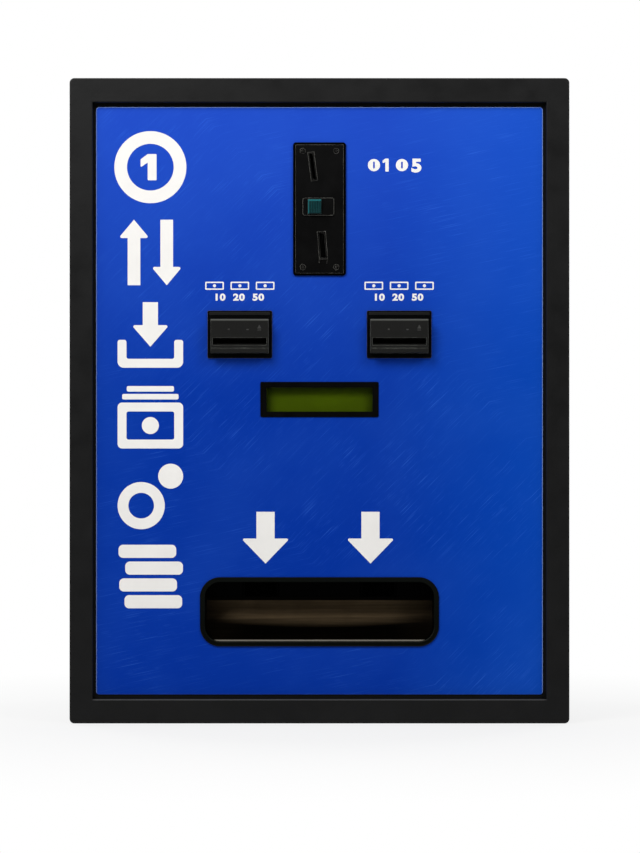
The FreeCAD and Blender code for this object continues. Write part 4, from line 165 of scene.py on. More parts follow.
class BodyColours(bpy.types.PropertyGroup):
    zinc: colour("Zinc", "Galvanised sheet of the cabinet", 168, 172, 174)
    fastener: colour("Fasteners", "Zinc plated screws, nuts, rivets and hinges", 176, 172, 160)
    door: colour("Door", "Textured paint of the rear door", 92, 95, 98)
    housing: colour("Housings", "Grey plastic of the note reader heads", 74, 76, 78)
    cassette: colour("Cassettes", "Black plastic of the note cassettes", 22, 22, 23)
    hopper: colour("Hoppers", "Plastic of the hopper bases", 36, 38, 41)
    bin: colour("Bins", "Plastic of the coin bins", 60, 74, 92)
    rubber: colour("Rubber", "Rollers and feet", 30, 29, 28)
    brass: colour("Brass", "Payout discs and lock plug", 186, 150, 84)
    chrome: colour("Chrome", "Handle and bail", 200, 202, 204)
    motor: colour("Motors", "Motor cans and latch parts", 120, 122, 124)
    board: colour("Board", "Solder mask of the circuit boards", 14, 74, 40)
    aluminium: colour("Aluminium", "Case of the power supply", 184, 186, 188)
    rocker: colour("Rocker", "Power switch", 168, 24, 20)
    inlet: colour("Inlet", "Plastic of the power inlet", 20, 20, 20)
    chip: colour("Chips", "Small parts on the control board", 26, 26, 28)
    spring: colour("Springs", "Return lever and button spring", 150, 150, 148)
    fitting: colour("Fittings", "Plastic of the acceptor's body and the handle's escutcheon", 24, 24, 25)


class PrintSizes(bpy.types.PropertyGroup):
    ink: length("Ink", "Thickness of the ink", 0.12)
    arrow_width: length("Arrow width", "Head of the arrows over the cup", 65)
    arrow_shaft: length("Arrow shaft", "Shaft of the arrows over the cup", 24.4)
    arrow_height: length("Arrow height", "Arrows over the cup, from end to tip", 69.5)
    arrow_head: length("Arrow head", "Head of the arrows, from back to tip", 33.6)
    arrow_round: length("Arrow rounding", "Rounding of the head's outer corners", 1.7)
    symbol_width: length("Symbols", "Width of the column's symbols", 88)
    symbol_line: length("Symbol line", "Line width of the column's symbols", 17)
    coin_value: length("Coin values", "Height of the coin values", 17.4)
    note_value: length("Note values", "Height of the note values", 9)


class HardwareSizes(bpy.types.PropertyGroup):
    screw: length("Screws", "Head radius of the pan head screws", 3)
    small_screw: length("Small screws", "Head radius of the control board's screws", 2)
    rivet: length("Rivets", "Head radius of the rivets", 3.2)
    rivets_up: number("Rivets up", "Rivets up the front edge of a side panel", 7)
    rivets_across: number("Rivets across", "Rivets along a side panel's top and bottom, and the rear", 6)
    button_ribs: number("Button ribs", "Ribs on the coin return button", 7)
    cassette_ribs: number("Cassette ribs", "Moulded ribs on the outer side of a cassette", 8)
    bin_ribs: number("Bin ribs", "Moulded ribs on the back of a coin bin", 5)
    chips: number("Chips", "Small parts in a row on the control board", 22)
    chip_rows: number("Chip rows", "Rows of small parts on the control board", 6)


class StudioSettings(bpy.types.PropertyGroup):
    distance: length("Distance", "Camera to the trim's face", 5000)
    view_height: length("View height", "Height of the view at the trim's face", 1143)
    eye_level: length("Eye level", "Camera above the floor", 398)
    key: power("Key lamp", "Soft lamp at the upper left", 33.5)
    second: power("Second lamp", "Soft lamp at the upper right", 16)
    rear: power("Rear lamps", "Soft lamps behind the machine", 27)
    fill: share("Fill", "Level of the room's own light", 0.36)
    front_room: share("Front of the room", "What gloss shows from before the machine", 0.1)


# Nodes ---------------------------------------------------------------------------------------------


class Nodes:
    """Adds nodes of one family to a tree and links them."""

    family = ""

    def __init__(self, tree):
        self.tree = tree

    def add(self, kind, inputs=None, **settings):
        """A node with its settings, each input given a value or the output of another node."""
        node = self.tree.nodes.new(self.family + kind)
        for name, value in settings.items():
            setattr(node, name, value)
        for key, value in (inputs or {}).items():
            self.feed(node.inputs[key], value)
        return node

    def feed(self, socket, value):
        if isinstance(value, bpy.types.NodeSocket):
            self.tree.links.new(value, socket)
        else:
            socket.default_value = value


class Shading(Nodes):
    """Shader nodes, with the sums that the materials and the room share."""

    family = "ShaderNode"

    def calc(self, operation, *values):
        return self.add("Math", dict(enumerate(values)), operation=operation).outputs[0]

    def both(self, first, second):
        """Their product: 1 where both are 1, or one of them brought down by the other."""
        return self.calc("MULTIPLY", first, second)

    def either(self, first, second):
        return self.calc("MAXIMUM", first, second)

    def less(self, value, taken):
        return self.calc("SUBTRACT", value, taken)

    def apart(self, value, middle=0.0):
        """How far the value is from the middle, on either side."""
        return self.calc("ABSOLUTE", self.less(value, middle) if middle else value)

    def span(self, value, low, high, start=0.0, end=1.0):
        """The value's range from low to high as one from start to end, clamped."""
        return self.add("MapRange", {
            "Value": value, "From Min": low, "From Max": high, "To Min": start, "To Max": end,
        }).outputs["Result"]


# Materials -----------------------------------------------------------------------------------------


class Finish(Shading):
    """A material built up in layers, from patterns on the object's own coordinates."""

    def __init__(self, name, base, metallic=0.0, specular=0.5):
        self.material = bpy.data.materials.new(name)
        self.material.use_nodes = True
        super().__init__(self.material.node_tree)
        self.shader = self.tree.nodes["Principled BSDF"]
        self.shader.inputs["Metallic"].default_value = metallic
        self.shader.inputs["Specular IOR Level"].default_value = specular
        self.place = self.add("TexCoord").outputs["Object"]
        self.base = (*base, 1)
        self.normal = None

    def axes(self, place=None):
        return self.add("SeparateXYZ", {0: place or self.place}).outputs

    def scaled(self, size, turn=(0, 0, 0), centre=(0, 0, 0), place=None):
        """The place in units of size, a number or one for each axis, turned about a centre."""
        size = size if hasattr(size, "__len__") else (size, size, size)
        return self.add("Mapping", {
            "Vector": place or self.place, "Location": centre, "Rotation": turn, "Scale": size,
        }, vector_type="TEXTURE").outputs[0]

    def noise(self, size, detail, turn=(0, 0, 0), place=None):
        """Soft noise from 0 to 1 with patches of that size."""
        return self.add("TexNoise", {
            "Vector": self.scaled(size, turn, place=place), "Scale": 1.0, "Detail": detail,
        }).outputs["Fac"]

    def cells(self, size, output="Distance"):
        """Cells of that size: the distance to their middles, or a colour of their own."""
        return self.add("TexVoronoi", {"Vector": self.scaled(size), "Scale": 1.0}).outputs[output]

    def rounded_normal(self, radius):
        return self.add("Bevel", {"Radius": radius}, samples=4).outputs[0]

    def edges(self, radius):
        """1 at the edges of the shape, falling to 0 within that radius."""
        flat_normal = self.add("NewGeometry").outputs["True Normal"]
        likeness = self.add("VectorMath", {
            0: self.rounded_normal(radius), 1: flat_normal}, operation="DOT_PRODUCT")
        return self.span(likeness.outputs["Value"], 0.995, 0.86)

    def soften(self, radius):
        """Rounds the edges for the light."""
        self.normal = self.rounded_normal(radius)

    def press(self, height, depth):
        """Raises the surface where the height is large, by that many metres."""
        inputs = {"Height": height, "Distance": depth}
        if self.normal:
            inputs["Normal"] = self.normal
        self.normal = self.add("Bump", inputs).outputs[0]

    def lay(self, factor, over):
        """Lays a colour over what is there, as far as the factor says."""
        inputs = {0: factor, 6: self.base, 7: (*over, 1)}
        self.base = self.add("Mix", inputs, data_type="RGBA").outputs[2]

    def tint(self, pattern, low, high, amount, over):
        """Lays a colour where a pattern goes from low to high, by up to that amount."""
        self.lay(self.span(pattern, low, high, 0, amount), over)

    def made(self, roughness):
        self.feed(self.shader.inputs["Base Color"], self.base)
        self.feed(self.shader.inputs["Roughness"], roughness)
        if self.normal:
            self.feed(self.shader.inputs["Normal"], self.normal)
        return self.material

    def wandering(self, size, detail, smooth, rough):
        """A roughness that wanders from smooth to rough, in patches of that size."""
        return self.span(self.noise(size, detail), 0.3, 0.7, smooth, rough)


def times(shade, factor):
    """A colour made lighter or darker by a factor."""
    return tuple(min(1.0, level * factor) for level in shade)


def powder_finish(name, shade, specular, grain=1.1, clouds=0.5):
    """Baked powder coat: orange peel, faint clouds, specks, and edges rubbed a little lighter."""
    finish = Finish(name, shade, specular=specular)
    finish.soften(0.7 * MILLIMETRE)
    finish.tint(finish.noise(0.07, 3), 0.35, 0.75, clouds, times(shade, 1.6))
    worn = finish.span(finish.noise(0.012, 4), 0.4, 0.7, 0.15, 0.7)
    finish.lay(finish.both(finish.edges(0.9 * MILLIMETRE), worn), times(shade, 3.2))
    finish.tint(finish.cells(0.02), 0.035, 0.0, 0.5, times(shade, 3.5))
    finish.press(finish.noise(grain * MILLIMETRE, 2), 0.07 * MILLIMETRE)
    finish.press(finish.noise(0.006, 1), 0.1 * MILLIMETRE)
    return finish


def powder_coat(name, shade, roughness, grain=1.1, specular=0.25, clouds=0.5):
    """A powder coat of about that roughness."""
    finish = powder_finish(name, shade, specular, grain, clouds)
    return finish.made(finish.wandering(0.03, 4, roughness - 0.07, roughness + 0.08))


def trim_coat(colours):
    """The trim's powder coat, with a painted highlight line along the lower edge of its opening."""
    low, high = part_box("trim_frame")
    opening_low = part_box("graphic_overlay")[0].z - TRIM_GAP
    finish = powder_finish("trim_coat", colours.trim, 0.14)
    x, y, z = finish.axes()
    # Painted highlight: a light line along the lower edge of the opening
    below = finish.apart(z, opening_low - 0.7 * MILLIMETRE)
    front = finish.span(y, low.y + 3 * MILLIMETRE, low.y + 2 * MILLIMETRE)
    line = finish.both(finish.span(below, 1.1 * MILLIMETRE, 0.5 * MILLIMETRE), front)
    line_end = high.x - LINE_INSET
    inside = finish.span(finish.apart(x), line_end, line_end - 4 * MILLIMETRE)
    finish.lay(finish.both(finish.both(line, inside), 0.6), times(colours.trim, 16))
    return finish.made(finish.wandering(0.03, 4, 0.37, 0.52))


def moulded_finish(name, shade, grain, specular):
    """Moulded plastic without its edges: spark-eroded grain and flow marks."""
    finish = Finish(name, shade, specular=specular)
    finish.soften(0.5 * MILLIMETRE)
    finish.tint(finish.noise((0.06, 0.02, 0.015), 3), 0.4, 0.7, 0.4, times(shade, 1.5))
    finish.press(finish.noise(grain * MILLIMETRE, 1), 0.035 * MILLIMETRE)
    return finish


def edge_wear_and_highlight(finish, edge, roughness, amount=0.5, radius=0.6, where=1.0):
    """Edges laid lighter and a little smoother, more here and less there, over a matt surface: wear from
    handling, and painted highlight.
    """
    patchy = finish.span(finish.noise(0.009, 3), 0.35, 0.6, 0.35, 1)
    worn_and_lit_edge = finish.both(finish.both(finish.edges(radius * MILLIMETRE), patchy), where)
    finish.lay(finish.both(worn_and_lit_edge, amount), edge)
    matt = finish.wandering(0.02, 3, roughness - 0.05, roughness + 0.07)
    return finish.made(finish.less(matt, finish.both(worn_and_lit_edge, 0.12)))


def moulded(name, shade, roughness, grain=0.5, specular=0.35):
    """Moulded plastic with slightly lighter edges, from wear and painted highlight."""
    return edge_wear_and_highlight(moulded_finish(name, shade, grain, specular), times(shade, 2.6), roughness)


def bezel_plastic(colours):
    """Note bezels: a dull flange, a snout that hands keep glossy, a painted highlight across the snout's
    upper front, and painted highlights on the edges.
    """
    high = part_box("note_bezel_left")[1]
    snout_back, brow_low = high.y - 20 * MILLIMETRE, high.z - 14.6 * MILLIMETRE
    finish = moulded_finish("bezel_plastic", colours.bezel, 0.45, 0.045)
    _, y, z = finish.axes()
    finish.lay(finish.span(y, snout_back + 6 * MILLIMETRE, snout_back), colours.snout)
    # Painted highlight across the upper front of the snout
    brow_highlight = finish.both(finish.span(z, brow_low, brow_low + 1.4 * MILLIMETRE),
                       finish.span(y, snout_back, snout_back - 4 * MILLIMETRE))
    finish.lay(finish.both(brow_highlight, 0.35), colours.bezel_edge_highlight)
    # Painted highlights on the bezel's edges
    return edge_wear_and_highlight(finish, colours.bezel_edge_highlight, 0.38, 0.75, 0.9)


def cup_plastic(colours):
    """The payout cup: dull black, with painted shade inside, a painted highlight on the lower inner edge,
    and painted light and highlights on its rim.
    """
    low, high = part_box("coin_cup")
    rim_back = low.y + 8 * MILLIMETRE
    finish = moulded_finish("cup_plastic", colours.cup, 0.5, 0.02)
    _, y, z = finish.axes()
    # Painted shade: darker further inside the cup
    finish.lay(finish.span(y, rim_back, low.y + 0.03), PAINTED_SHADE)
    # Painted highlight along the lower inner edge
    lower_highlight = finish.span(z, low.z + 0.03, low.z + 0.01)
    finish.lay(finish.both(finish.both(lower_highlight, finish.edges(1.2 * MILLIMETRE)), 0.5), colours.cup_edge_highlight)
    # Painted light: the rim's front lighter, more so towards the top
    outside = finish.span(y, rim_back + MILLIMETRE, rim_back - MILLIMETRE)
    lit_toward_top = finish.span(z, low.z, high.z, 0.2, 0.5)
    finish.lay(finish.both(outside, lit_toward_top), times(colours.cup, 4))
    # Painted highlights on the rim's edges
    return edge_wear_and_highlight(finish, times(colours.cup, 6), 0.4, 0.4, where=outside)


def die_casting(colours):
    """The acceptor's plate in black enamel: painted light in its upper half, painted shade around its
    raised field and in its coin slots, and painted highlights along the field's edges.
    """
    enamel = colours.acceptor
    finish = Finish("acceptor_enamel", enamel, specular=0.025)
    finish.soften(0.6 * MILLIMETRE)
    finish.tint(finish.noise(0.02, 4), 0.4, 0.75, 0.5, times(enamel, 1.7))
    finish.tint(finish.cells(0.011), 0.04, 0.0, 0.4, times(enamel, 6))
    low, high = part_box("acceptor_faceplate")
    x, y, z = finish.axes()
    # Painted light: the upper half lighter
    finish.tint(z, (low.z + high.z) / 2, high.z, 0.5, times(enamel, 2))
    # Painted shade: near black behind the raised field's front, on the flange and the field's sides
    field = finish.span(y, low.y + 4.4 * MILLIMETRE, low.y + 4.3 * MILLIMETRE)
    finish.lay(finish.less(1.0, field), times(enamel, 0.1))
    # Painted shade: each coin slot laid near black
    for slot_x, slot_z, width, height, lean in COIN_SLOTS:
        across = finish.apart(finish.calc("ADD", finish.both(finish.less(x, slot_x), math.cos(lean)),
                                          finish.both(finish.less(z, slot_z), math.sin(lean))))
        along = finish.apart(z, slot_z)
        solid = finish.either(finish.span(across, width / 2, width / 2 + SLOT_BLUR),
                              finish.span(along, height / 2, height / 2 + SLOT_BLUR))
        finish.lay(finish.less(1.0, solid), PAINTED_SHADE)
        field = finish.both(field, solid)
    finish.press(finish.noise(0.8 * MILLIMETRE, 2), 0.05 * MILLIMETRE)
    # Painted highlights along the raised field's edges
    return edge_wear_and_highlight(finish, colours.acceptor_edge_highlight, 0.36, 0.9, 0.65, field)


def blackened_screw(colours):
    """Blackened screw heads, with painted glints on their rims and cross recesses."""
    finish = Finish("blackened_screw", colours.screw, specular=0.05)
    finish.soften(0.2 * MILLIMETRE)
    return edge_wear_and_highlight(finish, colours.screw_glint, 0.35, 0.8, 0.24)


def teal_button(colours):
    """The return button: teal plastic, with a painted highlight along its top and left edges."""
    low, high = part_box("return_button")
    finish = moulded_finish("button_teal", colours.button, 0.4, 0.15)
    x, _, z = finish.axes()
    # Painted highlight along the top and left edges, and on the button's edges
    top_highlight = finish.span(z, high.z - 4.6 * MILLIMETRE, high.z - 4.0 * MILLIMETRE)
    side = finish.span(x, low.x + 3.6 * MILLIMETRE, low.x + 2.8 * MILLIMETRE)
    worn = times(colours.button_rib, 4)
    finish.lay(finish.both(finish.either(top_highlight, side), 0.8), worn)
    return edge_wear_and_highlight(finish, worn, 0.3, 0.8)


def rubber(name, shade):
    """Matt rubber with mould bloom and fine pitting."""
    finish = Finish(name, shade, specular=0.2)
    finish.soften(0.5 * MILLIMETRE)
    finish.tint(finish.noise(0.012, 4), 0.45, 0.75, 0.6, times(shade, 2.2))
    finish.tint(finish.cells(0.0025), 0.18, 0.05, 0.6, times(shade, 0.4))
    finish.press(finish.noise(0.0008, 2), 0.06 * MILLIMETRE)
    return finish.made(finish.wandering(0.01, 2, 0.72, 0.9))


def galvanised(name, shade):
    """Hot-dip zinc on sheet steel: spangles, dull blooms and scratches from handling."""
    finish = Finish(name, shade, metallic=1.0)
    finish.soften(0.6 * MILLIMETRE)
    spangle = finish.axes(finish.cells(0.014, "Color"))[0]
    finish.tint(spangle, 0, 1, 0.5, times(shade, 0.72))
    bloom = finish.noise(0.11, 5)
    finish.tint(bloom, 0.5, 0.75, 0.45, times(shade, 0.6))
    scratch = finish.noise((0.09, 0.0012, 0.0012), 1, (0.4, 0.7, 0.5))
    finish.tint(scratch, 0.7, 0.78, 0.5, times(shade, 1.3))
    finish.press(spangle, 0.02 * MILLIMETRE)
    roughness = finish.span(spangle, 0, 1, 0.34, 0.5)
    return finish.made(finish.calc("ADD", roughness, finish.span(bloom, 0.45, 0.75, 0, 0.16)))


def plated(name, shade, roughness=0.25):
    """Plated or turned metal: fine scratches and clouded plating."""
    finish = Finish(name, shade, metallic=1.0)
    finish.soften(0.4 * MILLIMETRE)
    finish.tint(finish.noise(0.014, 4), 0.4, 0.8, 0.4, times(shade, 0.72))
    hairline = finish.noise((0.02, 0.0006, 0.0006), 1, (0.3, 0.5, 0.8))
    finish.tint(hairline, 0.66, 0.76, 0.4, times(shade, 1.25))
    finish.press(hairline, 0.01 * MILLIMETRE)
    return finish.made(finish.span(finish.noise(0.006, 3), 0.3, 0.75, roughness - 0.06, roughness + 0.14))


def brushed(name, shade, along, roughness):
    """Brushed sheet: lines along one axis, given by the size of a line on each axis."""
    finish = Finish(name, shade, metallic=1.0)
    finish.soften(0.4 * MILLIMETRE)
    line = finish.noise(along, 3)
    finish.tint(line, 0.35, 0.7, 0.5, times(shade, 1.35))
    finish.tint(finish.noise(0.03, 4), 0.5, 0.75, 0.4, times(shade, 0.65))
    finish.press(line, 0.012 * MILLIMETRE)
    return finish.made(finish.span(line, 0.3, 0.7, roughness - 0.08, roughness + 0.1))


def panel_film(colours):
    """The printed film: a blue lightened by painted light towards the top and the right, so darker at the
    lower left, crossed by fine light strokes.

    The strokes run at 45 degrees through the middle of the panel and flatten out towards its upper
    right and lower left corners.
    """
    low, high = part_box("graphic_overlay")
    middle = (low.z + high.z) / 2
    film = Finish("panel_film", colours.panel, specular=0.045)
    film.soften(0.5 * MILLIMETRE)
    x, _, z = film.axes()
    # Painted light: the upper half of the panel lighter
    film.lay(film.span(z, middle, high.z), colours.panel_lit_top)
    # Painted light: the panel lighter towards its right side
    film.tint(x, high.x * 0.3, high.x, 0.28, colours.panel_lit_right)
    rise = film.less(z, middle)
    along = film.both(film.calc("ADD", rise, x), math.sqrt(0.5))
    across = film.both(film.less(rise, x), math.sqrt(0.5))
    straight = film.add("Clamp", {"Value": along, "Min": -STROKES_STRAIGHT, "Max": STROKES_STRAIGHT})
    bend = film.both(film.less(along, straight.outputs[0]), 0.65)
    flow = film.add("CombineXYZ", {"X": along, "Y": film.calc("ADD", across, bend)}).outputs[0]
    dense = film.span(film.noise(0.12, 2), 0.35, 0.6, 0.35, 1)
    long_stroke = film.span(film.noise((0.045, 0.0009, 1), 0, place=flow), 0.69, 0.82)
    short_stroke = film.span(film.noise((0.016, 0.0008, 1), 0, place=flow), 0.72, 0.86)
    strokes = film.either(long_stroke, film.both(short_stroke, 0.7))
    film.lay(film.both(film.both(strokes, dense), 0.3), colours.panel_stroke)
    film.tint(film.noise(0.16, 3), 0.4, 0.7, 0.06, colours.panel_stroke)
    # Painted highlight along the film's edges, left off the bottom edge where the light does not reach
    above = film.span(z, low.z + 1 * MILLIMETRE, low.z + 4 * MILLIMETRE, 0.05, 0.9)
    film.lay(film.both(film.edges(2 * MILLIMETRE), above), colours.panel_edge_highlight)
    film.press(strokes, 0.01 * MILLIMETRE)
    film.press(film.noise(0.0007, 1), 0.012 * MILLIMETRE)
    return film.made(film.wandering(0.05, 3, 0.4, 0.5))


def white_ink(shade):
    """Screen printed ink with a faint mesh and pinholes."""
    ink = Finish("white_ink", shade, specular=0.2)
    ink.tint(ink.noise(0.03, 4), 0.4, 0.75, 0.5, times(shade, 0.93))
    ink.tint(ink.cells(0.004), 0.07, 0.02, 0.5, times(shade, 0.75))
    ink.press(ink.noise(0.0006, 1), 0.012 * MILLIMETRE)
    return ink.made(ink.wandering(0.01, 2, 0.5, 0.62))


def crystal_field(shade, board):
    """The display: a green field with two faint rows of character cells and painted shadow of the bezel at
    its sides and top, on a circuit board.
    """
    low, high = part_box("display_module")
    middle = ((low.x + high.x) / 2, 0, (low.z + high.z) / 2)
    character = (8.8 * MILLIMETRE, 1, 12.5 * MILLIMETRE)
    lit = (71.2 * MILLIMETRE, 1, 16.2 * MILLIMETRE)
    field = Finish("crystal_field", shade, specular=0.03)
    cell = field.add("TexBrick", {
        "Vector": field.scaled(character, (math.pi / 2, 0, 0), middle),
        "Color1": (0, 0, 0, 1), "Color2": (0.1, 0.1, 0.1, 1), "Mortar": (1, 1, 1, 1),
        "Scale": 1.0, "Mortar Size": 0.07, "Brick Width": 1.0, "Row Height": 1.0,
    }, offset=0.0).outputs["Color"]
    field.lay(field.both(field.axes(cell)[0], 0.1), times(shade, 1.7))
    field.tint(field.noise(0.03, 3), 0.4, 0.7, 0.3, times(shade, 0.7))
    x, y, z = field.axes(field.scaled(lit, centre=middle))
    # Painted shadow of the bezel: darker towards the field's sides and top
    side = field.span(field.apart(x), 0.8, 1.0, 0, 0.55)
    end = field.span(z, 0.45, 1.0, 0, 0.65)
    field.lay(field.either(side, end), times(shade, 0.25))
    beside = field.span(field.either(field.apart(x), field.apart(z)), 1.02, 1.04)
    behind = field.span(y, low.y + 5.7 * MILLIMETRE, low.y + 5.8 * MILLIMETRE)
    field.lay(field.either(beside, behind), board)
    field.lay(field.both(field.span(field.cells(0.0042), 0.24, 0.18), behind), SOLDER)
    return field.made(field.wandering(0.004, 2, 0.3, 0.42))


def clear_plastic():
    """A thin clear window with a faint haze."""
    clear = Finish("clear_window", WINDOW, specular=0.2)
    clear.tint(clear.noise(0.02, 3), 0.4, 0.7, 0.5, WINDOW_HAZE)
    clear.press(clear.noise(0.05, 1), 0.02 * MILLIMETRE)
    clear.shader.inputs["Alpha"].default_value = 0.06
    return clear.made(clear.wandering(0.03, 3, 0.06, 0.12))


def scoop_steel(colours):
    """Brushed steel: a brown, streaked band as painted reflection, painted shade below it, along its top
    edge and towards its ends, and a pale, dull lip as painted highlight.
    """
    low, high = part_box("scoop_plate")
    shade, metal = colours.scoop, 0.75
    steel = Finish("scoop_steel", shade, metallic=metal, specular=0.08)
    streak = steel.noise((0.16, 0.004, 0.0024), 3)
    fine = steel.noise((0.05, 0.001, 0.0007), 2)
    # The brown, streaked band: painted reflection over the brushing
    steel.tint(streak, 0.45, 0.72, 0.7, times(shade, 1.7))
    steel.tint(fine, 0.5, 0.75, 0.4, times(shade, 1.5))
    steel.tint(steel.noise(0.05, 4), 0.45, 0.7, 0.5, times(shade, 0.6))
    x, y, z = steel.axes()
    # Painted shade below the band, along a bow that rises towards the ends
    bow = steel.both(steel.both(x, x), 0.32)
    rise = steel.less(z, steel.calc("ADD", bow, low.z + 16 * MILLIMETRE))
    steel.lay(steel.span(rise, 11 * MILLIMETRE, 0.0), times(shade, 0.02))
    # Painted shade towards both ends
    steel.tint(steel.apart(x), 0.1, high.x, 0.7, times(shade, 0.15))
    # Painted shade along the top edge
    steel.lay(steel.span(z, high.z - 5 * MILLIMETRE, high.z - 4 * MILLIMETRE), times(shade, 0.02))
    # The pale, dull lip: painted highlight
    lip = steel.span(y, low.y + 10 * MILLIMETRE, low.y + 7 * MILLIMETRE)
    steel.lay(lip, colours.scoop_lip_highlight)
    steel.feed(steel.shader.inputs["Metallic"], steel.span(lip, 0, 1, metal, 0))
    steel.press(fine, 0.02 * MILLIMETRE)
    steel.press(steel.noise((0.04, 0.012, 0.012), 2), 0.4 * MILLIMETRE)
    return steel.made(steel.span(streak, 0.3, 0.7, 0.3, 0.5))


def ringed_brass(shade, middle):
    """Turned brass with rings about the disc's axis; both discs share it, by the distance from x = 0."""
    brass = Finish("ringed_brass", shade, metallic=1.0)
    brass.soften(0.4 * MILLIMETRE)
    x, y, _ = brass.axes()
    x = brass.less(brass.apart(x), middle.x)
    y = brass.less(y, middle.y)
    radius = brass.calc("SQRT", brass.calc("ADD", brass.both(x, x), brass.both(y, y)))
    ring = brass.add("CombineXYZ", {"X": radius}).outputs[0]
    groove = brass.noise(0.0009, 2, place=ring)
    brass.tint(groove, 0.4, 0.7, 0.5, times(shade, 1.3))
    brass.tint(brass.noise(0.02, 4), 0.5, 0.75, 0.6, times(shade, 0.55))
    brass.press(groove, 0.01 * MILLIMETRE)
    return brass.made(brass.span(groove, 0.3, 0.7, 0.26, 0.4))


def circuit_board(shade):
    """Solder mask over copper tracks, with plated holes, on a board that stands across x."""
    board = Finish("control_board", shade)
    tracks = board.add("TexBrick", {
        "Vector": board.scaled(MILLIMETRE, (0, -math.pi / 2, 0)),
        "Color1": (0, 0, 0, 1), "Color2": (0, 0, 0, 1), "Mortar": (1, 1, 1, 1),
        "Scale": 1.0, "Mortar Size": 0.3, "Mortar Smooth": 0.1, "Brick Width": 9.0, "Row Height": 2.54,
    }, offset=0.37).outputs["Color"]
    copper = board.both(board.axes(tracks)[0], board.span(board.noise(0.022, 1), 0.45, 0.5))
    board.lay(copper, times(shade, 2.1))
    holes = board.span(board.cells(0.0051), 0.2, 0.16)
    board.lay(board.both(holes, board.span(board.noise(0.03, 1), 0.5, 0.52)), HOLE_PLATING)
    board.tint(board.noise(0.05, 3), 0.45, 0.75, 0.3, times(shade, 0.6))
    board.press(copper, 0.05 * MILLIMETRE)
    return board.made(board.wandering(0.01, 2, 0.28, 0.4))


def shared(name, maker, *values):
    """The material of that name, made on first use."""
    return bpy.data.materials.get(name) or maker(name, *values)


def zinc_plate():
    """The plating of the fasteners and hinges."""
    return shared("zinc_plate", plated, bpy.context.scene.changer_body.fastener)


def coat(finish, *names):
    """Gives the frame's nodes of those names that material."""
    for name in names:
        node = NODES[name]
        if not node.material_slots:
            node.data.materials.append(None)
        for place in node.material_slots:
            place.material = finish


def pair(name):
    return [f"{name}_{side}" for side in SIDES]


# Shapes --------------------------------------------------------------------------------------------


def circle(x, y, radius, sides=72):
    turn = 2 * math.pi / sides
    return [(x + radius * math.cos(turn * k), y + radius * math.sin(turn * k)) for k in range(sides)]


def rounded(corners):
    """The outline through corners of (x, y, radius), each rounded by its radius."""
    steps = 6
    outline = []
    for n, (x, y, radius) in enumerate(corners):
        here = Vector((x, y))
        before = (Vector(corners[n - 1][:2]) - here).normalized()
        after = (Vector(corners[(n + 1) % len(corners)][:2]) - here).normalized()
        if not radius:
            outline.append(here)
            continue
        half = before.angle(after) / 2
        centre = here + (before + after).normalized() * radius / math.sin(half)
        setback = radius / math.tan(half)
        first, last = here + before * setback - centre, here + after * setback - centre
        outline += [centre + first.lerp(last, k / steps).normalized() * radius for k in range(steps + 1)]
    return outline


def bar(x, y, width, height, radius):
    """A rounded rectangle about the middle x, y."""
    left, right, low, high = x - width / 2, x + width / 2, y - height / 2, y + height / 2
    return rounded([(left, low, radius), (right, low, radius), (right, high, radius), (left, high, radius)])


def arrow(x, tip, width, shaft, height, head, rounding, up=False):
    """An arrow that points down to its tip, or up."""
    way = -1 if up else 1
    back, end = tip + way * head, tip + way * height
    return rounded([
        (x, tip, 0), (x + width / 2, back, rounding), (x + shaft / 2, back, 0), (x + shaft / 2, end, 0),
        (x - shaft / 2, end, 0), (x - shaft / 2, back, 0), (x - width / 2, back, rounding)])


def one(x, y, height, width):
    """A plain figure one of that height, about the middle x, y."""
    left, right, low, high = x - width * 0.3, x + width * 0.7, y - height / 2, y + height / 2
    flag = left - width * 0.8
    corner, nook = 1 * MILLIMETRE, 0.2 * MILLIMETRE
    return rounded([
        (left, low, corner), (right, low, corner), (right, high, corner), (left, high, corner),
        (flag, high - width * 0.6, corner), (flag, high - width * 1.5, corner),
        (left, high - width * 0.95, nook)])


def add_object(name, mesh):
    made = bpy.data.objects.new(name, mesh)
    bpy.context.scene.collection.objects.link(made)
    return made


def made_solid(name, shape):
    """The piece with a shape's faces; the shape itself is used up."""
    mesh = bpy.data.meshes.new(name)
    shape.to_mesh(mesh)
    shape.free()
    return add_object(name, mesh)


def cleaned(mesh):
    """Merges doubled points and turns every face outwards."""
    shape = bmesh.new()
    shape.from_mesh(mesh)
    bmesh.ops.remove_doubles(shape, verts=shape.verts, dist=MILLIMETRE / 1000)
    bmesh.ops.recalc_face_normals(shape, faces=shape.faces)
    shape.to_mesh(mesh)
    shape.free()
    return mesh


def stood_up(name, curve, thickness, face):
    """Makes a flat curve or text a mesh on the plane y = face, standing that far out of it."""
    curve.fill_mode = "BOTH"
    curve.extrude = thickness / 2
    flat = bpy.data.objects.new(name, curve)
    mesh = bpy.data.meshes.new_from_object(flat)
    bpy.data.objects.remove(flat)
    mesh.transform(Matrix.Translation((0, face - thickness / 2, 0)) @ Matrix.Rotation(math.pi / 2, 4, "X"))
    return cleaned(mesh)


def cut_out(name, outlines, thickness, face):
    """A flat piece with those outlines in x and z; an outline inside another is a hole."""
    curve = bpy.data.curves.new(name, "CURVE")
    curve.dimensions = "2D"
    for outline in outlines:
        spline = curve.splines.new("POLY")
        spline.points.add(len(outline) - 1)
        for point, (x, y) in zip(spline.points, outline):
            point.co = (x, y, 0, 1)
        spline.use_cyclic_u = True
    return add_object(name, stood_up(name, curve, thickness, face))


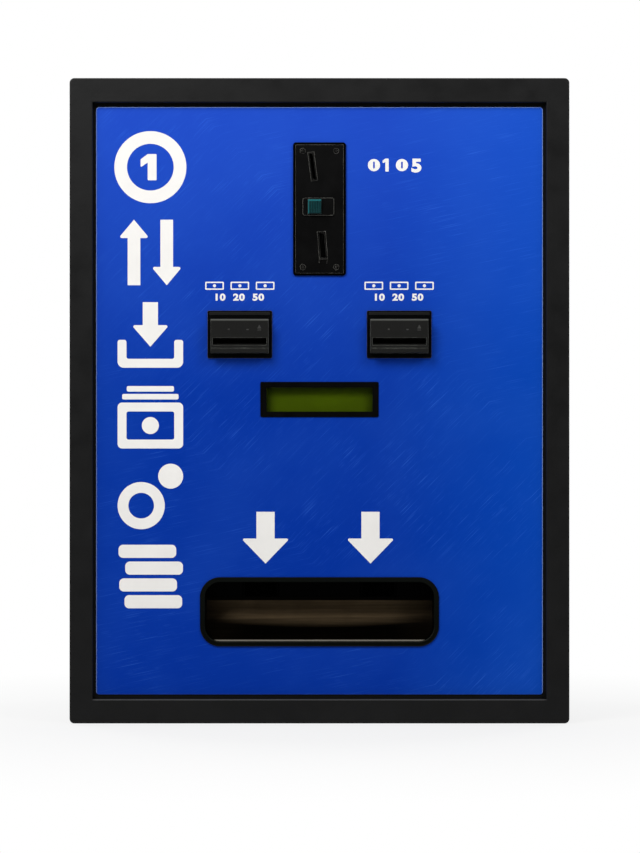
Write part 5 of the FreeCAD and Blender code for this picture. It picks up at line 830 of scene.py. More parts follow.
def numerals(name, text, height, x, z, thickness, face):
    """Bold, wide numerals of that height, centred on x and z."""
    boldness, spacing, widening = 0.045, 1.12, 1.18
    curve = bpy.data.curves.new(name, "FONT")
    curve.body = text
    curve.offset = boldness
    curve.space_character = spacing
    mesh = stood_up(name, curve, thickness, face)
    xs, zs = [v.co.x for v in mesh.vertices], [v.co.z for v in mesh.vertices]
    size = height / max(zs)
    for vertex in mesh.vertices:
        vertex.co.x = x + (vertex.co.x - (max(xs) + min(xs)) / 2) * size * widening
        vertex.co.z = z + (vertex.co.z - max(zs) / 2) * size
    return add_object(name, mesh)


def fitted(piece, finish, body="cabinet"):
    """Gives a new piece its material and the body that it rides on."""
    piece.data.materials.clear()
    piece.data.materials.append(finish)
    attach(piece, body)


def turned(name, profile, sides=20):
    """A closed piece turned about z from a profile of (radius, height), which starts and ends on z."""
    shape = bmesh.new()
    rings = []
    for radius, height in profile:
        if radius:
            rings.append([shape.verts.new((radius * math.cos(a), radius * math.sin(a), height))
                          for a in (2 * math.pi * k / sides for k in range(sides))])
        else:
            rings.append([shape.verts.new((0, 0, height))] * sides)
    for lower, upper in zip(rings, rings[1:]):
        for k in range(sides):
            corners = (lower[k - 1], lower[k], upper[k], upper[k - 1])
            shape.faces.new(list(dict.fromkeys(corners)))
    bmesh.ops.recalc_face_normals(shape, faces=shape.faces)
    return made_solid(name, shape)


def block(name, size, rounding, centre=(0, 0, 0), segments=2):
    """A block with rounded edges about its centre."""
    shape = bmesh.new()
    bmesh.ops.create_cube(shape, size=1, matrix=Matrix.Translation(centre) @ Matrix.Diagonal((*size, 1)))
    bmesh.ops.bevel(shape, geom=list(shape.edges), offset=rounding, segments=segments, profile=0.5,
                    affect="EDGES")
    return made_solid(name, shape)


def pan_head(radius):
    """A pan head with a cross recess, standing on z = 0 and sunk a little below it."""
    profile = [(0, -0.1), (1, -0.1), (1, 0.16), (0.93, 0.32), (0.75, 0.45), (0.4, 0.52), (0, 0.54)]
    head = turned("pan_head", [(r * radius, z * radius) for r, z in profile])
    for turn in (0, math.pi / 2):
        blade = block("blade", (1.15 * radius, 0.24 * radius, 0.6 * radius), 0.02 * radius,
                      (0, 0, 0.58 * radius), 1)
        blade.data.transform(Matrix.Rotation(turn, 4, "Z"))
        recess = head.modifiers.new("Recess", "BOOLEAN")
        recess.object = blade
        head.data = bpy.data.meshes.new_from_object(
            head.evaluated_get(bpy.context.evaluated_depsgraph_get()))
        head.modifiers.clear()
        bpy.data.objects.remove(blade)
    return head


def rivet_head(radius):
    """A blind rivet's dome with the dimple that its mandrel leaves."""
    profile = [(0, -0.1), (1, -0.1), (1, 0.05), (0.85, 0.25), (0.6, 0.38), (0.36, 0.42), (0.3, 0.3),
               (0, 0.28)]
    return turned("rivet_head", [(r * radius, z * radius) for r, z in profile], 16)


# Node trees for what repeats -----------------------------------------------------------------------


class Tree(Nodes):
    """A geometry node tree that places copies of a part."""

    def __init__(self, name, **sockets):
        super().__init__(bpy.data.node_groups.new(name, "GeometryNodeTree"))
        interface = self.tree.interface
        interface.new_socket("Geometry", in_out="OUTPUT", socket_type="NodeSocketGeometry")
        for label, kind in sockets.items():
            interface.new_socket(label, in_out="INPUT", socket_type="NodeSocket" + kind)
        self.inputs = self.add("NodeGroupInput").outputs

    def close(self, points, rotation=None, selection=None):
        """Puts the part on the points, makes the copies real and gives them their material."""
        part = self.add("GeometryNodeObjectInfo", {"Object": self.inputs["Part"]})
        inputs = {"Points": points, "Instance": part.outputs["Geometry"]}
        if rotation:
            inputs["Rotation"] = rotation
        if selection:
            inputs["Selection"] = selection
        copies = self.add("GeometryNodeInstanceOnPoints", inputs)
        real = self.add("GeometryNodeRealizeInstances", {"Geometry": copies.outputs[0]})
        painted = self.add("GeometryNodeSetMaterial", {
            "Geometry": real.outputs[0], "Material": self.inputs["Material"]})
        self.add("NodeGroupOutput", {"Geometry": painted.outputs[0]})
        return self.tree


def row_tree():
    """Copies of a part in a straight row."""
    tree = Tree("row_of_parts", Part="Object", Material="Material",
                Count="Int", Start="Vector", Step="Vector")
    line = tree.add("GeometryNodeMeshLine", {
        "Count": tree.inputs["Count"], "Start Location": tree.inputs["Start"],
        "Offset": tree.inputs["Step"]})
    return tree.close(line.outputs[0])


def fastener_tree():
    """A fastener on each point, along the point's axis and turned at random about it."""
    tree = Tree("fasteners_on_points", Geometry="Geometry", Part="Object", Material="Material", Seed="Int")
    axis = tree.add("GeometryNodeInputNamedAttribute", {"Name": "axis"}, data_type="FLOAT_VECTOR")
    turn = tree.add("FunctionNodeRandomValue", {
        "Max": (0, 0, 2 * math.pi), "Seed": tree.inputs["Seed"]}, data_type="FLOAT_VECTOR")
    spun = tree.add("FunctionNodeAlignRotationToVector", {"Vector": axis.outputs["Attribute"]}, axis="Z")
    about = tree.add("FunctionNodeEulerToRotation", {0: turn.outputs["Value"]})
    rotation = tree.add("FunctionNodeRotateRotation", {
        "Rotation": spun.outputs[0], "Rotate By": about.outputs[0]}, rotation_space="LOCAL")
    return tree.close(tree.inputs["Geometry"], rotation.outputs[0])


def scatter_tree():
    """Copies of a part on the points of a grid, with some left out at random."""
    tree = Tree("scattered_parts", Part="Object", Material="Material", Seed="Int", Kept="Float",
                Columns="Int", Rows="Int", Width="Float", Height="Float", Centre="Vector")
    grid = tree.add("GeometryNodeMeshGrid", {
        "Size X": tree.inputs["Width"], "Size Y": tree.inputs["Height"],
        "Vertices X": tree.inputs["Columns"], "Vertices Y": tree.inputs["Rows"]})
    upright = tree.add("GeometryNodeTransform", {
        "Geometry": grid.outputs[0], "Translation": tree.inputs["Centre"],
        "Rotation": (math.pi / 2, 0, math.pi / 2)})
    kept = tree.add("FunctionNodeRandomValue", {
        "Probability": tree.inputs["Kept"], "Seed": tree.inputs["Seed"]}, data_type="BOOLEAN")
    return tree.close(upright.outputs[0], selection=kept.outputs["Value"])


def grown(name, tree, values, points=()):
    """A plain piece that a node tree grows from these values, and from points of (place, axis)."""
    mesh = bpy.data.meshes.new(name)
    mesh.from_pydata([place for place, _ in points], [], [])
    if points:
        axis = mesh.attributes.new("axis", "FLOAT_VECTOR", "POINT")
        axis.data.foreach_set("vector", [level for _, way in points for level in way])
    piece = add_object(name, mesh)
    grow = piece.modifiers.new("Grow", "NODES")
    grow.node_group = tree
    for socket in tree.interface.items_tree:
        if socket.in_out == "INPUT" and socket.name in values:
            grow[socket.identifier] = values[socket.name]
    evaluated = piece.evaluated_get(bpy.context.evaluated_depsgraph_get())
    piece.data = bpy.data.meshes.new_from_object(evaluated)
    piece.modifiers.clear()
    return piece


def row(name, part, finish, body, count, start, step):
    """A row of copies of a part, which is used up."""
    tree = bpy.data.node_groups.get("row_of_parts") or row_tree()
    piece = grown(name, tree, {
        "Part": part, "Material": finish, "Count": count, "Start": start, "Step": step})
    bpy.data.objects.remove(part)
    fitted(piece, finish, body)


def fasteners(name, part, body, points):
    """Zinc plated fasteners on the points, each (place, axis), from one part, which is used up."""
    tree = bpy.data.node_groups.get("fasteners_on_points") or fastener_tree()
    finish = zinc_plate()
    piece = grown(name, tree, {"Part": part, "Material": finish, "Seed": FASTENER_SEED}, points)
    bpy.data.objects.remove(part)
    fitted(piece, finish, body)


def spread(low, high, ends, count):
    """Evenly spaced numbers from low to high, short of them by these two ends."""
    first, last = low + ends[0], high - ends[1]
    return [first + (last - first) * k / (count - 1) for k in range(count)]


def inset(low, high, distance):
    """The two levels at that distance inside low and high."""
    return low + distance, high - distance


# Front ---------------------------------------------------------------------------------------------


class CHANGER_OT_trim(bpy.types.Operator):
    """Powder coats the trim frame and the face plate, and plates the trim's nuts"""
    bl_idname = "changer.trim"
    bl_label = "Trim frame"

    def execute(self, context):
        colours = context.scene.changer_front
        coat(trim_coat(colours), "trim_frame")
        coat(powder_coat("plate_coat", times(colours.trim, 0.25), 0.6, specular=0.12), "face_plate")
        coat(zinc_plate(), "trim_nuts")
        return {"FINISHED"}


class CHANGER_OT_panel(bpy.types.Operator):
    """Prints the blue film of the front panel"""
    bl_idname = "changer.panel"
    bl_label = "Panel film"

    def execute(self, context):
        coat(panel_film(context.scene.changer_front), "graphic_overlay")
        return {"FINISHED"}


def printed(name, maker, *shape):
    """Prints a shape on the panel in white ink; its maker is cut_out or numerals."""
    scene, face = bpy.context.scene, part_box("graphic_overlay")[0].y
    piece = maker(name, *shape, scene.changer_print.ink, face)
    ink = bpy.data.materials.get("white_ink") or white_ink(scene.changer_front.ink)
    fitted(piece, ink)


class CHANGER_OT_symbols(bpy.types.Operator):
    """Prints the column of large symbols: coin, exchange, payout, notes, coins and a stack"""
    bl_idname = "changer.symbols"
    bl_label = "Symbol column"

    x = -0.2272
    levels = (0.7464, 0.6318, 0.521, 0.409, 0.304, 0.1965)
    shifts = (0.004, -0.003, 0.005, -0.004)

    def execute(self, context):
        sizes = context.scene.changer_print
        x, half, line = self.x, sizes.symbol_width / 2, sizes.symbol_line
        coin, exchange, payout, notes, coins, stack = self.levels
        thin = line * 0.7
        thinner = thin * 0.62
        slight, small, medium, large = (n * MILLIMETRE for n in (2, 3, 6, 8))
        left, right = x - half, x + half
        tray_low, tray_high = payout - half, payout - half * 0.15
        note, disc = notes - half * 0.22, (x - half * 0.28, coins - half * 0.28)
        outlines = [
            circle(x, coin, half * 1.1), circle(x, coin, half * 1.1 - line), one(x, coin, half * 0.8, thin),
            arrow(x - half / 2, exchange + half, half * 0.94, line, 2 * half, half * 0.56, slight, True),
            arrow(x + half / 2, exchange - half, half * 0.94, line, 2 * half, half * 0.56, slight),
            arrow(x, payout - half * 0.36, half * 1.15, line * 1.2, half * 1.36, half * 0.66, slight),
            rounded([
                (left, tray_low, large), (right, tray_low, large),
                (right, tray_high, small), (right - thin, tray_high, small),
                (right - thin, tray_low + thin, small), (left + thin, tray_low + thin, small),
                (left + thin, tray_high, small), (left, tray_high, small)]),
            bar(x, note, 2 * half, half * 1.4, medium),
            bar(x, note, 2 * half - 2 * thin, half * 1.4 - 2 * thin, small),
            circle(x, note, half * 0.26),
            bar(x, notes + half * 0.66, 2 * half * 0.86, thinner, slight),
            bar(x, notes + half * 0.9, 2 * half * 0.72, thinner, slight),
            circle(*disc, half * 0.72), circle(*disc, half * 0.72 - line * 0.85),
            circle(x + half * 0.62, coins + half * 0.62, half * 0.38),
        ]
        for k, shift in enumerate(self.shifts):
            level = stack - half * 0.77 + k * half * 0.513
            outlines.append(bar(x + shift, level, half * 1.76, half * 0.4, medium))
        printed("print_symbols", cut_out, outlines)
        return {"FINISHED"}


class CHANGER_OT_arrows(bpy.types.Operator):
    """Prints the two arrows that point down to the payout cup"""
    bl_idname = "changer.arrows"
    bl_label = "Arrows"

    centres = (-0.0725, 0.0685)
    tip = 0.2139

    def execute(self, context):
        sizes = context.scene.changer_print
        outlines = [arrow(x, self.tip, sizes.arrow_width, sizes.arrow_shaft, sizes.arrow_height,
                          sizes.arrow_head, sizes.arrow_round) for x in self.centres]
        printed("print_arrows", cut_out, outlines)
        return {"FINISHED"}


class CHANGER_OT_values(bpy.types.Operator):
    """Prints the coin and note values, and a row of small notes over each bezel"""
    bl_idname = "changer.values"
    bl_label = "Values"

    coin_level = 0.7492
    coin_places = (0.0732, 0.1108)
    one_place, five_place = 0.0898, 0.1302
    coin_radius, seal_radius = 0.0082, 0.0021
    # Width, height and rounding of a coin's slot, of a note and of the field cut out of a note
    slot, note, field = (0.0023, 0.0092, 0.0008), (0.025, 0.0108, 0.0012), (0.0216, 0.0074, 0.0008)
    note_step = 34 * MILLIMETRE
    # From a bezel's top up to the values, and to the notes over them
    values_rise, notes_rise = 18.5 * MILLIMETRE, 33.5 * MILLIMETRE

    def execute(self, context):
        sizes = context.scene.changer_print
        level = self.coin_level
        outlines = [one(self.one_place, level, sizes.coin_value, sizes.coin_value * 0.26)]
        for x in self.coin_places:
            outlines += [circle(x, level, self.coin_radius), bar(x, level, *self.slot)]
        printed("print_coins", cut_out, outlines)
        printed("print_coin_value", numerals, "5", sizes.coin_value, self.five_place, level)
        for side in SIDES:
            low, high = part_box(f"note_bezel_{side}")
            x = (low.x + high.x) / 2
            printed(f"print_note_values_{side}", numerals, "10  20  50", sizes.note_value,
                    x, high.z + self.values_rise)
            outlines = []
            for step in (-1, 0, 1):
                place = (x + step * self.note_step, high.z + self.notes_rise)
                outlines += [bar(*place, *self.note), bar(*place, *self.field),
                             circle(*place, self.seal_radius, 24)]
            printed(f"print_notes_{side}", cut_out, outlines)
        return {"FINISHED"}


class CHANGER_OT_acceptor(bpy.types.Operator):
    """Finishes the coin acceptor, and adds the sill and ears of its return slot"""
    bl_idname = "changer.acceptor"
    bl_label = "Coin acceptor"

    sill = (0.0118, 0.0026, 0.0014)
    ear = (0.0016, 0.0024, 0.0062)
    # Where the sill's middle is, across and up
    foot = (0.0053, 0.6235)

    def execute(self, context):
        front, body = context.scene.changer_front, context.scene.changer_body
        casting = die_casting(front)
        coat(casting, "acceptor_faceplate")
        coat(blackened_screw(front), "acceptor_screws")
        coat(moulded("acceptor_body", body.fitting, 0.4), "coin_acceptor_body")
        coat(plated("lever_zinc", body.spring, 0.35), "return_lever")
        sill = block("acceptor_sill", self.sill, 0.3 * MILLIMETRE)
        reach, drop = (self.sill[0] - self.ear[0]) / 2, 3 * MILLIMETRE
        ears = [block("ear", self.ear, 0.4 * MILLIMETRE, (x, 0, -drop)) for x in (-reach, reach)]
        shape = bmesh.new()
        for part in (sill, *ears):
            shape.from_mesh(part.data)
        for part in ears:
            bpy.data.objects.remove(part)
        shape.to_mesh(sill.data)
        shape.free()
        foot = (self.foot[0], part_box("acceptor_faceplate")[0].y + 3 * MILLIMETRE, self.foot[1])
        lean = COIN_SLOTS[1][-1]
        sill.data.transform(Matrix.Translation(foot) @ Matrix.Rotation(lean, 4, "Y"))
        fitted(sill, casting)
        return {"FINISHED"}


class CHANGER_OT_button(bpy.types.Operator):
    """Colours the coin return button and its spring, and ribs the button's face in a lighter teal as
    painted highlight
    """
    bl_idname = "changer.button"
    bl_label = "Return button"

    # A rib's width as a share of the pitch, its depth and its height
    rib_share, rib_depth, rib_height = 0.55, 1.1 * MILLIMETRE, 15.8 * MILLIMETRE
    # From the button's left and right sides in to the row of ribs, and from its middle down to the row's
    row_left, row_right, row_down = 3.4 * MILLIMETRE, 2.6 * MILLIMETRE, 0.8 * MILLIMETRE

    def execute(self, context):
        colours = context.scene.changer_front
        coat(teal_button(colours), "return_button")
        wire = plated("spring_wire", context.scene.changer_body.spring)
        coil = add_object("button_coil", cleaned(NODES["button_spring"].data.copy()))
        coil.data.polygons.foreach_set("use_smooth", [True] * len(coil.data.polygons))
        fitted(coil, wire)
        low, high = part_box("button_spring")
        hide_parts("button_spring")
        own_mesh(coil)
        count = context.scene.changer_hardware.button_ribs
        low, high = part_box("return_button")
        left, right = low.x + self.row_left, high.x - self.row_right
        middle = (low.z + high.z) / 2 - self.row_down
        pitch = (right - left) / count
        # The ribs in a lighter teal than the face: painted highlight
        rib = block("rib", (pitch * self.rib_share, self.rib_depth, self.rib_height), 0.2 * MILLIMETRE)
        row("button_ribs", rib, moulded("button_rib", colours.button_rib, 0.25, 0.4, 0.15),
            "return_button", count, (left + pitch / 2, low.y - 0.1 * MILLIMETRE, middle), (pitch, 0, 0))
        return {"FINISHED"}


class CHANGER_OT_note_bezels(bpy.types.Operator):
    """Moulds the note bezels' surface, with a ledge over each snout and small feed marks on it"""
    bl_idname = "changer.note_bezels"
    bl_label = "Note bezels"

    ledge = (0.0815, 0.0014, 0.0042)
    # Across from the bezel's middle and down from its top, then for a bar width, height and rounding
    arrow = ((0.0265, 0.0194), (0.0237, 0.0246), (0.0293, 0.0246))
    bars = ((0.0265, 0.0266, 0.0048, 0.001, 0.0003),
            (-0.0143, 0.0255, 0.0026, 0.0018, 0.0005),
            (0.0108, 0.0259, 0.003, 0.0014, 0.0005))

    def execute(self, context):
        colours = context.scene.changer_front
        coat(bezel_plastic(colours), *pair("note_bezel"))
        # The raised feed marks lighter than the snout they stand on: painted highlight
        lit_marks = moulded("bezel_marks", times(colours.snout, 3.0), 0.3)
        dull = moulded("bezel_ledge", times(colours.snout, 0.6), 0.45, specular=0.1)
        for side in SIDES:
            low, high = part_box(f"note_bezel_{side}")
            middle = (low.x + high.x) / 2
            rounding = thickness = 0.4 * MILLIMETRE
            outlines = [rounded([(middle + x, high.z - z, rounding) for x, z in self.arrow])]
            outlines += [bar(middle + x, high.z - z, *size) for x, z, *size in self.bars]
            marks = cut_out(f"bezel_marks_{side}", outlines, thickness, low.y + 0.1 * MILLIMETRE)
            fitted(marks, lit_marks)
            ledge = block(f"bezel_ledge_{side}", self.ledge, 0.5 * MILLIMETRE,
                          (middle, low.y + 19.9 * MILLIMETRE, high.z - 4.1 * MILLIMETRE))
            fitted(ledge, dull)
        return {"FINISHED"}


class CHANGER_OT_display(bpy.types.Operator):
    """Finishes the display's bezel and crystal field, and sets a clear pane a little before the field"""
    bl_idname = "changer.display"
    bl_label = "Display"

    def execute(self, context):
        colours = context.scene.changer_front
        coat(moulded("display_bezel", times(colours.bezel, 0.6), 0.4, 0.45, 0.05), "display_bezel")
        low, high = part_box("display_window")
        gap = Vector((0, 0.3 * MILLIMETRE, 0))
        size = high - low - gap
        pane = block("display_pane", size, 0.2 * MILLIMETRE, low + size / 2)
        fitted(pane, clear_plastic())
        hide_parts("display_window")
        coat(crystal_field(colours.display, context.scene.changer_body.board), "display_module")
        return {"FINISHED"}


class CHANGER_OT_cup(bpy.types.Operator):
    """Moulds the payout cup, finishes the scoop plate with painted reflection and painted shade, and makes
    the chutes near black as painted shade
    """
    bl_idname = "changer.cup"
    bl_label = "Payout cup"

    def execute(self, context):
        colours = context.scene.changer_front
        coat(cup_plastic(colours), "coin_cup")
        coat(scoop_steel(colours), "scoop_plate")
        # The chutes near black: painted shade in the top of the cup
        coat(moulded("chute_black", colours.chute, 0.6, specular=0.02), *pair("payout_chute"))
        return {"FINISHED"}


# Cabinet and insides -------------------------------------------------------------------------------


class CHANGER_OT_cabinet(bpy.types.Operator):
    """Galvanises the cabinet, rivets its panels and colours its feet"""
    bl_idname = "changer.cabinet"
    bl_label = "Cabinet"

    edge = 12 * MILLIMETRE
    # From the ends of an edge to the first and last rivet along it
    front_ends, side_ends, rear_ends = (0.06, 0.04), (0.05, 0.05), (0.05, 0.053)

    def execute(self, context):
        colours, sizes = context.scene.changer_body, context.scene.changer_hardware
        zinc = shared("galvanised_sheet", galvanised, colours.zinc)
        coat(zinc, *pair("side_panel"), "top_panel", "base_panel", "hopper_shelf", "coin_drop_tube")
        coat(rubber("foot_rubber", colours.rubber), "feet")
        low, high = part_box("side_panel_left")
        right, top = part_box("side_panel_right")[1].x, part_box("top_panel")[1].z
        walls = ((low.x, (-1, 0, 0)), (right, (1, 0, 0)))
        points = []
        for z in spread(low.z, high.z, self.front_ends, sizes.rivets_up):
            points += [((x, low.y + self.edge, z), way) for x, way in walls]
        for y in spread(low.y, high.y, self.side_ends, sizes.rivets_across):
            points += [((x, y, z), way) for z in inset(low.z, high.z, self.edge) for x, way in walls]
        for x in spread(low.x, right, self.rear_ends, sizes.rivets_across):
            points.append(((x, high.y - self.edge, top), (0, 0, 1)))
        fasteners("cabinet_rivets", rivet_head(sizes.rivet), "cabinet", points)
        return {"FINISHED"}


class CHANGER_OT_note_readers(bpy.types.Operator):
    """Finishes the reader heads, rollers and note cassettes, with their ribs and screws"""
    bl_idname = "changer.note_readers"
    bl_label = "Note readers"

    rib_depth, rib_width = 0.0016, 0.0026
    # How much shorter than the cassette its ribs are, and how far below its middle theirs is
    ribs_short, ribs_down = 0.05, 0.01

    def execute(self, context):
        colours, sizes = context.scene.changer_body, context.scene.changer_hardware
        coat(moulded("reader_grey", colours.housing, 0.5, 0.6), *pair("reader_head"))
        coat(rubber("roller_rubber", colours.rubber), *pair("drive_roller"), *pair("idler_roller"))
        black = moulded("cassette_black", colours.cassette, 0.48, 0.6)
        coat(black, *pair("note_cassette"), *pair("cassette_door"))
        for side in SIDES:
            low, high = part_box(f"note_cassette_{side}")
            front, rear = inset(low.y, high.y, 15 * MILLIMETRE)
            pitch = (rear - front) / (sizes.cassette_ribs - 1)
            outer = low.x if side == "left" else high.x
            height, middle = high.z - low.z - self.ribs_short, (low.z + high.z) / 2 - self.ribs_down
            rib = block("rib", (self.rib_depth, self.rib_width, height), 0.5 * MILLIMETRE)
            row(f"cassette_ribs_{side}", rib, black, f"note_cassette_{side}",
                sizes.cassette_ribs, (outer, front, middle), (0, pitch, 0))
            low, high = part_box(f"reader_head_{side}")
            first, last = low.y + 30 * MILLIMETRE, high.y - 12 * MILLIMETRE
            points = [((x, y, z), (way, 0, 0)) for x, way in ((low.x, -1), (high.x, 1))
                      for y in (first, last) for z in inset(low.z, high.z, 10 * MILLIMETRE)]
            fasteners(f"reader_screws_{side}", pan_head(sizes.screw), "cabinet", points)
        return {"FINISHED"}


class CHANGER_OT_hoppers(bpy.types.Operator):
    """Finishes the hoppers' bases, motors, discs and bins, with the bins' ribs and the bases' screws"""
    bl_idname = "changer.hoppers"
    bl_label = "Hoppers"

    rib = (0.0026, 0.002, 0.03)

    def execute(self, context):
        colours, sizes = context.scene.changer_body, context.scene.changer_hardware
        coat(moulded("hopper_black", colours.hopper, 0.5, 0.6), *pair("hopper_base"))
        blue_grey = moulded("bin_plastic", colours.bin, 0.4, 0.7)
        coat(blue_grey, *pair("coin_bin"))
        coat(plated("motor_can", colours.motor, 0.35), *pair("hopper_motor"))
        low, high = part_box("hopper_disc_right")
        coat(ringed_brass(colours.brass, (low + high) / 2), *pair("hopper_disc"))
        for side in SIDES:
            low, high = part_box(f"coin_bin_{side}")
            left, right = inset(low.x, high.x, 30 * MILLIMETRE)
            pitch = (right - left) / (sizes.bin_ribs - 1)
            rib = block("rib", self.rib, 0.6 * MILLIMETRE)
            row(f"bin_ribs_{side}", rib, blue_grey, f"hopper_{side}", sizes.bin_ribs,
                (left, high.y - 2.2 * MILLIMETRE, high.z - 20 * MILLIMETRE), (pitch, 0, 0))
            low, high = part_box(f"hopper_base_{side}")
            points = [((x, high.y, z), (0, 1, 0))
                      for x in inset(low.x, high.x, 12 * MILLIMETRE)
                      for z in inset(low.z, high.z, 10 * MILLIMETRE)]
            fasteners(f"hopper_screws_{side}", pan_head(sizes.screw), f"hopper_{side}", points)
        return {"FINISHED"}


class CHANGER_OT_coin_box(bpy.types.Operator):
    """Galvanises the coin box and plates its bail handle"""
    bl_idname = "changer.coin_box"
    bl_label = "Coin box"

    def execute(self, context):
        colours = context.scene.changer_body
        coat(shared("galvanised_sheet", galvanised, colours.zinc), "coin_box")
        coat(shared("chrome_plate", plated, colours.chrome, 0.14), "coin_box_bail")
        return {"FINISHED"}


class CHANGER_OT_electronics(bpy.types.Operator):
    """Finishes the control board with its small parts, the power supply and the power inlet"""
    bl_idname = "changer.electronics"
    bl_label = "Electronics"

    chip = (0.0014, 0.0052, 0.0032)
    # Height of the field of chips, its middle over the board's lower edge, and from its ends to the board's
    chips_height, chips_level, chips_margin = 0.03, 0.045, 0.015
    # From the edges of the board and of the power supply to their screws
    board_edge, supply_edge = 8 * MILLIMETRE, 12 * MILLIMETRE

    def execute(self, context):
        colours, sizes = context.scene.changer_body, context.scene.changer_hardware
        coat(circuit_board(colours.board), "control_board")
        coat(brushed("supply_case", colours.aluminium, (0.001, 0.06, 0.0008), 0.38), "power_supply")
        coat(moulded("inlet_black", colours.inlet, 0.42), "power_inlet")
        coat(moulded("rocker_red", colours.rocker, 0.28, 0.4), "power_rocker")
        ceramic = moulded("chip_black", colours.chip, 0.4)
        low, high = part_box("control_board")
        face = high.x - BOARD_THICKNESS
        tree = bpy.data.node_groups.get("scattered_parts") or scatter_tree()
        chip = block("chip", self.chip, 0.3 * MILLIMETRE)
        piece = grown("board_chips", tree, {
            "Part": chip, "Material": ceramic, "Seed": CHIP_SEED, "Kept": 0.6, "Columns": sizes.chips,
            "Rows": sizes.chip_rows, "Width": high.y - low.y - 2 * self.chips_margin,
            "Height": self.chips_height,
            "Centre": (face - 0.5 * MILLIMETRE, (low.y + high.y) / 2, low.z + self.chips_level)})
        bpy.data.objects.remove(chip)
        fitted(piece, ceramic)
        points = [((face, y, z), (-1, 0, 0)) for y in inset(low.y, high.y, self.board_edge)
                  for z in inset(low.z, high.z, self.board_edge)]
        fasteners("board_screws", pan_head(sizes.small_screw), "cabinet", points)
        low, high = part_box("power_supply")
        points = [((high.x, y, z), (1, 0, 0)) for y in inset(low.y, high.y, self.supply_edge)
                  for z in inset(low.z, high.z, self.supply_edge)]
        fasteners("supply_screws", pan_head(sizes.screw), "cabinet", points)
        return {"FINISHED"}


class CHANGER_OT_rear_door(bpy.types.Operator):
    """Paints the rear door and finishes its hinges, handle, lock and latch rods"""
    bl_idname = "changer.rear_door"
    bl_label = "Rear door"

    def execute(self, context):
        colours, sizes = context.scene.changer_body, context.scene.changer_hardware
        coat(powder_coat("door_paint", colours.door, 0.55, 1.6, clouds=0.14), "rear_door")
        coat(shared("chrome_plate", plated, colours.chrome, 0.14), "door_handle")
        coat(moulded("escutcheon", colours.fitting, 0.4), "handle_escutcheon")
        coat(plated("plug_brass", colours.brass, 0.24), "lock_plug")
        coat(plated("latch_steel", colours.motor, 0.32), "latch_cam", "latch_rod_upper", "latch_rod_lower")
        coat(zinc_plate(), "hinge_leaves_cabinet", "hinge_leaves_door", "hinge_pins")
        low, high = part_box("handle_escutcheon")
        middle = (low.x + high.x) / 2
        points = [((middle, high.y, z), (0, 1, 0)) for z in inset(low.z, high.z, 12 * MILLIMETRE)]
        fasteners("escutcheon_screws", pan_head(sizes.screw), "rear_door", points)
        return {"FINISHED"}


# Studio --------------------------------------------------------------------------------------------


def seen_white(floor):
    """1 for camera and transmission rays, and for glossy ones that go beside or behind the machine."""
    path = floor.add("LightPath").outputs
    behind = floor.span(floor.axes()["Y"], -0.5, 0.1)
    gloss = floor.both(path["Is Glossy Ray"], behind)
    clear = floor.either(path["Is Camera Ray"], path["Is Transmission Ray"])
    return floor.either(gloss, clear)


def floor_material():
    """A pale floor that is white to the camera and keeps a soft shadow."""
    floor = Finish("studio_floor", (0.6, 0.6, 0.6))
    pale = floor.made(0.9)
    reach = floor.add("VectorMath", {0: floor.place}, operation="LENGTH").outputs["Value"]
    level = floor.both(seen_white(floor), floor.span(reach, 0.3, 1.1, 0.78, 1.0))
    glow = floor.add("Emission").outputs[0]
    blend = floor.add("MixShader", {0: level, 1: floor.shader.outputs[0], 2: glow}).outputs[0]
    floor.feed(floor.tree.nodes["Material Output"].inputs["Surface"], blend)
    return pale


def room(settings):
    """A white background; gloss shows it behind the machine and a dim room before it."""
    world = bpy.data.worlds.new("studio")
    world.use_nodes = True
    sky = Shading(world.node_tree)
    direction = sky.add("SeparateXYZ", {0: sky.add("TexCoord").outputs["Generated"]}).outputs
    behind = sky.span(direction["Y"], -0.95, -0.4, settings.front_room)
    path = sky.add("LightPath").outputs
    level = settings.fill
    for ray, seen in (("Is Glossy Ray", behind), ("Is Transmission Ray", 1.0), ("Is Camera Ray", 1.0)):
        level = sky.add("Mix", {0: path[ray], 2: level, 3: seen}).outputs[0]
    sky.feed(sky.tree.nodes["Background"].inputs["Color"], level)
    world.cycles.sampling_method = "NONE"
    return world


def lamp(name, place, aim, size, watts):
    data = bpy.data.lights.new(name, "AREA")
    data.shape = "DISK"
    data.size = size
    data.energy = watts
    made = bpy.data.objects.new(name, data)
    made.location = place
    made.rotation_euler = (Vector(aim) - Vector(place)).to_track_quat("-Z", "Y").to_euler()
    bpy.context.scene.collection.objects.link(made)


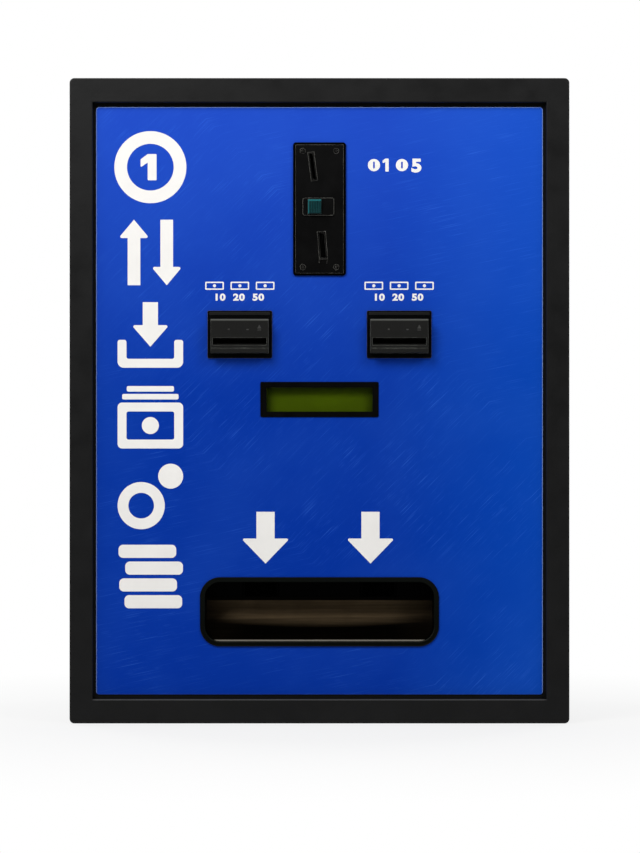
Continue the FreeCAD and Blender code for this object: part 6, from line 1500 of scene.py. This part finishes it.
class CHANGER_OT_studio(bpy.types.Operator):
    """Lays the floor, sets the lamps and the camera, and lights the room"""
    bl_idname = "changer.studio"
    bl_label = "Studio"

    floor_reach, floor_level = 6.0, -0.2 * MILLIMETRE
    middle = (0, 0, 0.45)
    camera_aside = 0.7 * MILLIMETRE

    def execute(self, context):
        scene, settings = context.scene, context.scene.changer_studio
        mesh = bpy.data.meshes.new("studio_floor")
        reach, level = self.floor_reach, self.floor_level
        mesh.from_pydata([(-reach, -reach, level), (reach, -reach, level), (reach, reach, level),
                          (-reach, reach, level)], [], [(0, 1, 2, 3)])
        mesh.materials.append(floor_material())
        add_object("studio_floor", mesh)
        scene.world = room(settings)
        lamp("key_lamp", (-0.8, -1.6, 1.7), (-0.1, 0, 0.6), 1.0, settings.key)
        lamp("second_lamp", (1.0, -1.6, 1.75), (0.25, 0, 0.75), 0.8, settings.second)
        lamp("rear_lamp_left", (-1.6, 2.1, 0.95), self.middle, 1.2, settings.rear)
        lamp("rear_lamp_right", (1.6, 2.2, 0.9), self.middle, 1.2, settings.rear)
        camera = bpy.data.cameras.new("camera")
        camera.lens = camera.sensor_width * settings.distance / settings.view_height
        camera.clip_end = 50
        view = bpy.data.objects.new("camera", camera)
        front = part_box("trim_frame")[0].y
        view.location = (self.camera_aside, front - settings.distance, settings.eye_level)
        view.rotation_euler = (math.pi / 2, 0, 0)
        scene.collection.objects.link(view)
        scene.camera = view
        scene.view_settings.view_transform = "Standard"
        return {"FINISHED"}


# Add-on --------------------------------------------------------------------------------------------


STEPS = (
    CHANGER_OT_trim, CHANGER_OT_panel, CHANGER_OT_symbols, CHANGER_OT_arrows, CHANGER_OT_values,
    CHANGER_OT_acceptor, CHANGER_OT_button, CHANGER_OT_note_bezels, CHANGER_OT_display, CHANGER_OT_cup,
    CHANGER_OT_cabinet, CHANGER_OT_note_readers, CHANGER_OT_hoppers, CHANGER_OT_coin_box,
    CHANGER_OT_electronics, CHANGER_OT_rear_door, CHANGER_OT_studio,
)
SETTINGS = {
    "changer_front": FrontColours,
    "changer_body": BodyColours,
    "changer_print": PrintSizes,
    "changer_hardware": HardwareSizes,
    "changer_studio": StudioSettings,
}


class CHANGER_PT_panel(bpy.types.Panel):
    """Lists the steps and the settings in the sidebar"""
    bl_idname = "CHANGER_PT_panel"
    bl_label = "Coin changer"
    bl_space_type = "VIEW_3D"
    bl_region_type = "UI"
    bl_category = "Changer"

    def draw(self, context):
        for step in STEPS:
            self.layout.operator(step.bl_idname)
        for name, group in SETTINGS.items():
            box = self.layout.box()
            for field in group.__annotations__:
                box.prop(getattr(context.scene, name), field)


CLASSES = (*SETTINGS.values(), *STEPS, CHANGER_PT_panel)


def register():
    for cls in CLASSES:
        bpy.utils.register_class(cls)
    for name, group in SETTINGS.items():
        setattr(bpy.types.Scene, name, bpy.props.PointerProperty(type=group))


def unregister():
    for name in SETTINGS:
        delattr(bpy.types.Scene, name)
    for cls in reversed(CLASSES):
        bpy.utils.unregister_class(cls)


def main():
    register()
    for step in STEPS:
        family, action = step.bl_idname.split(".")
        getattr(getattr(bpy.ops, family), action)()


if __name__ == "__main__":
    main()
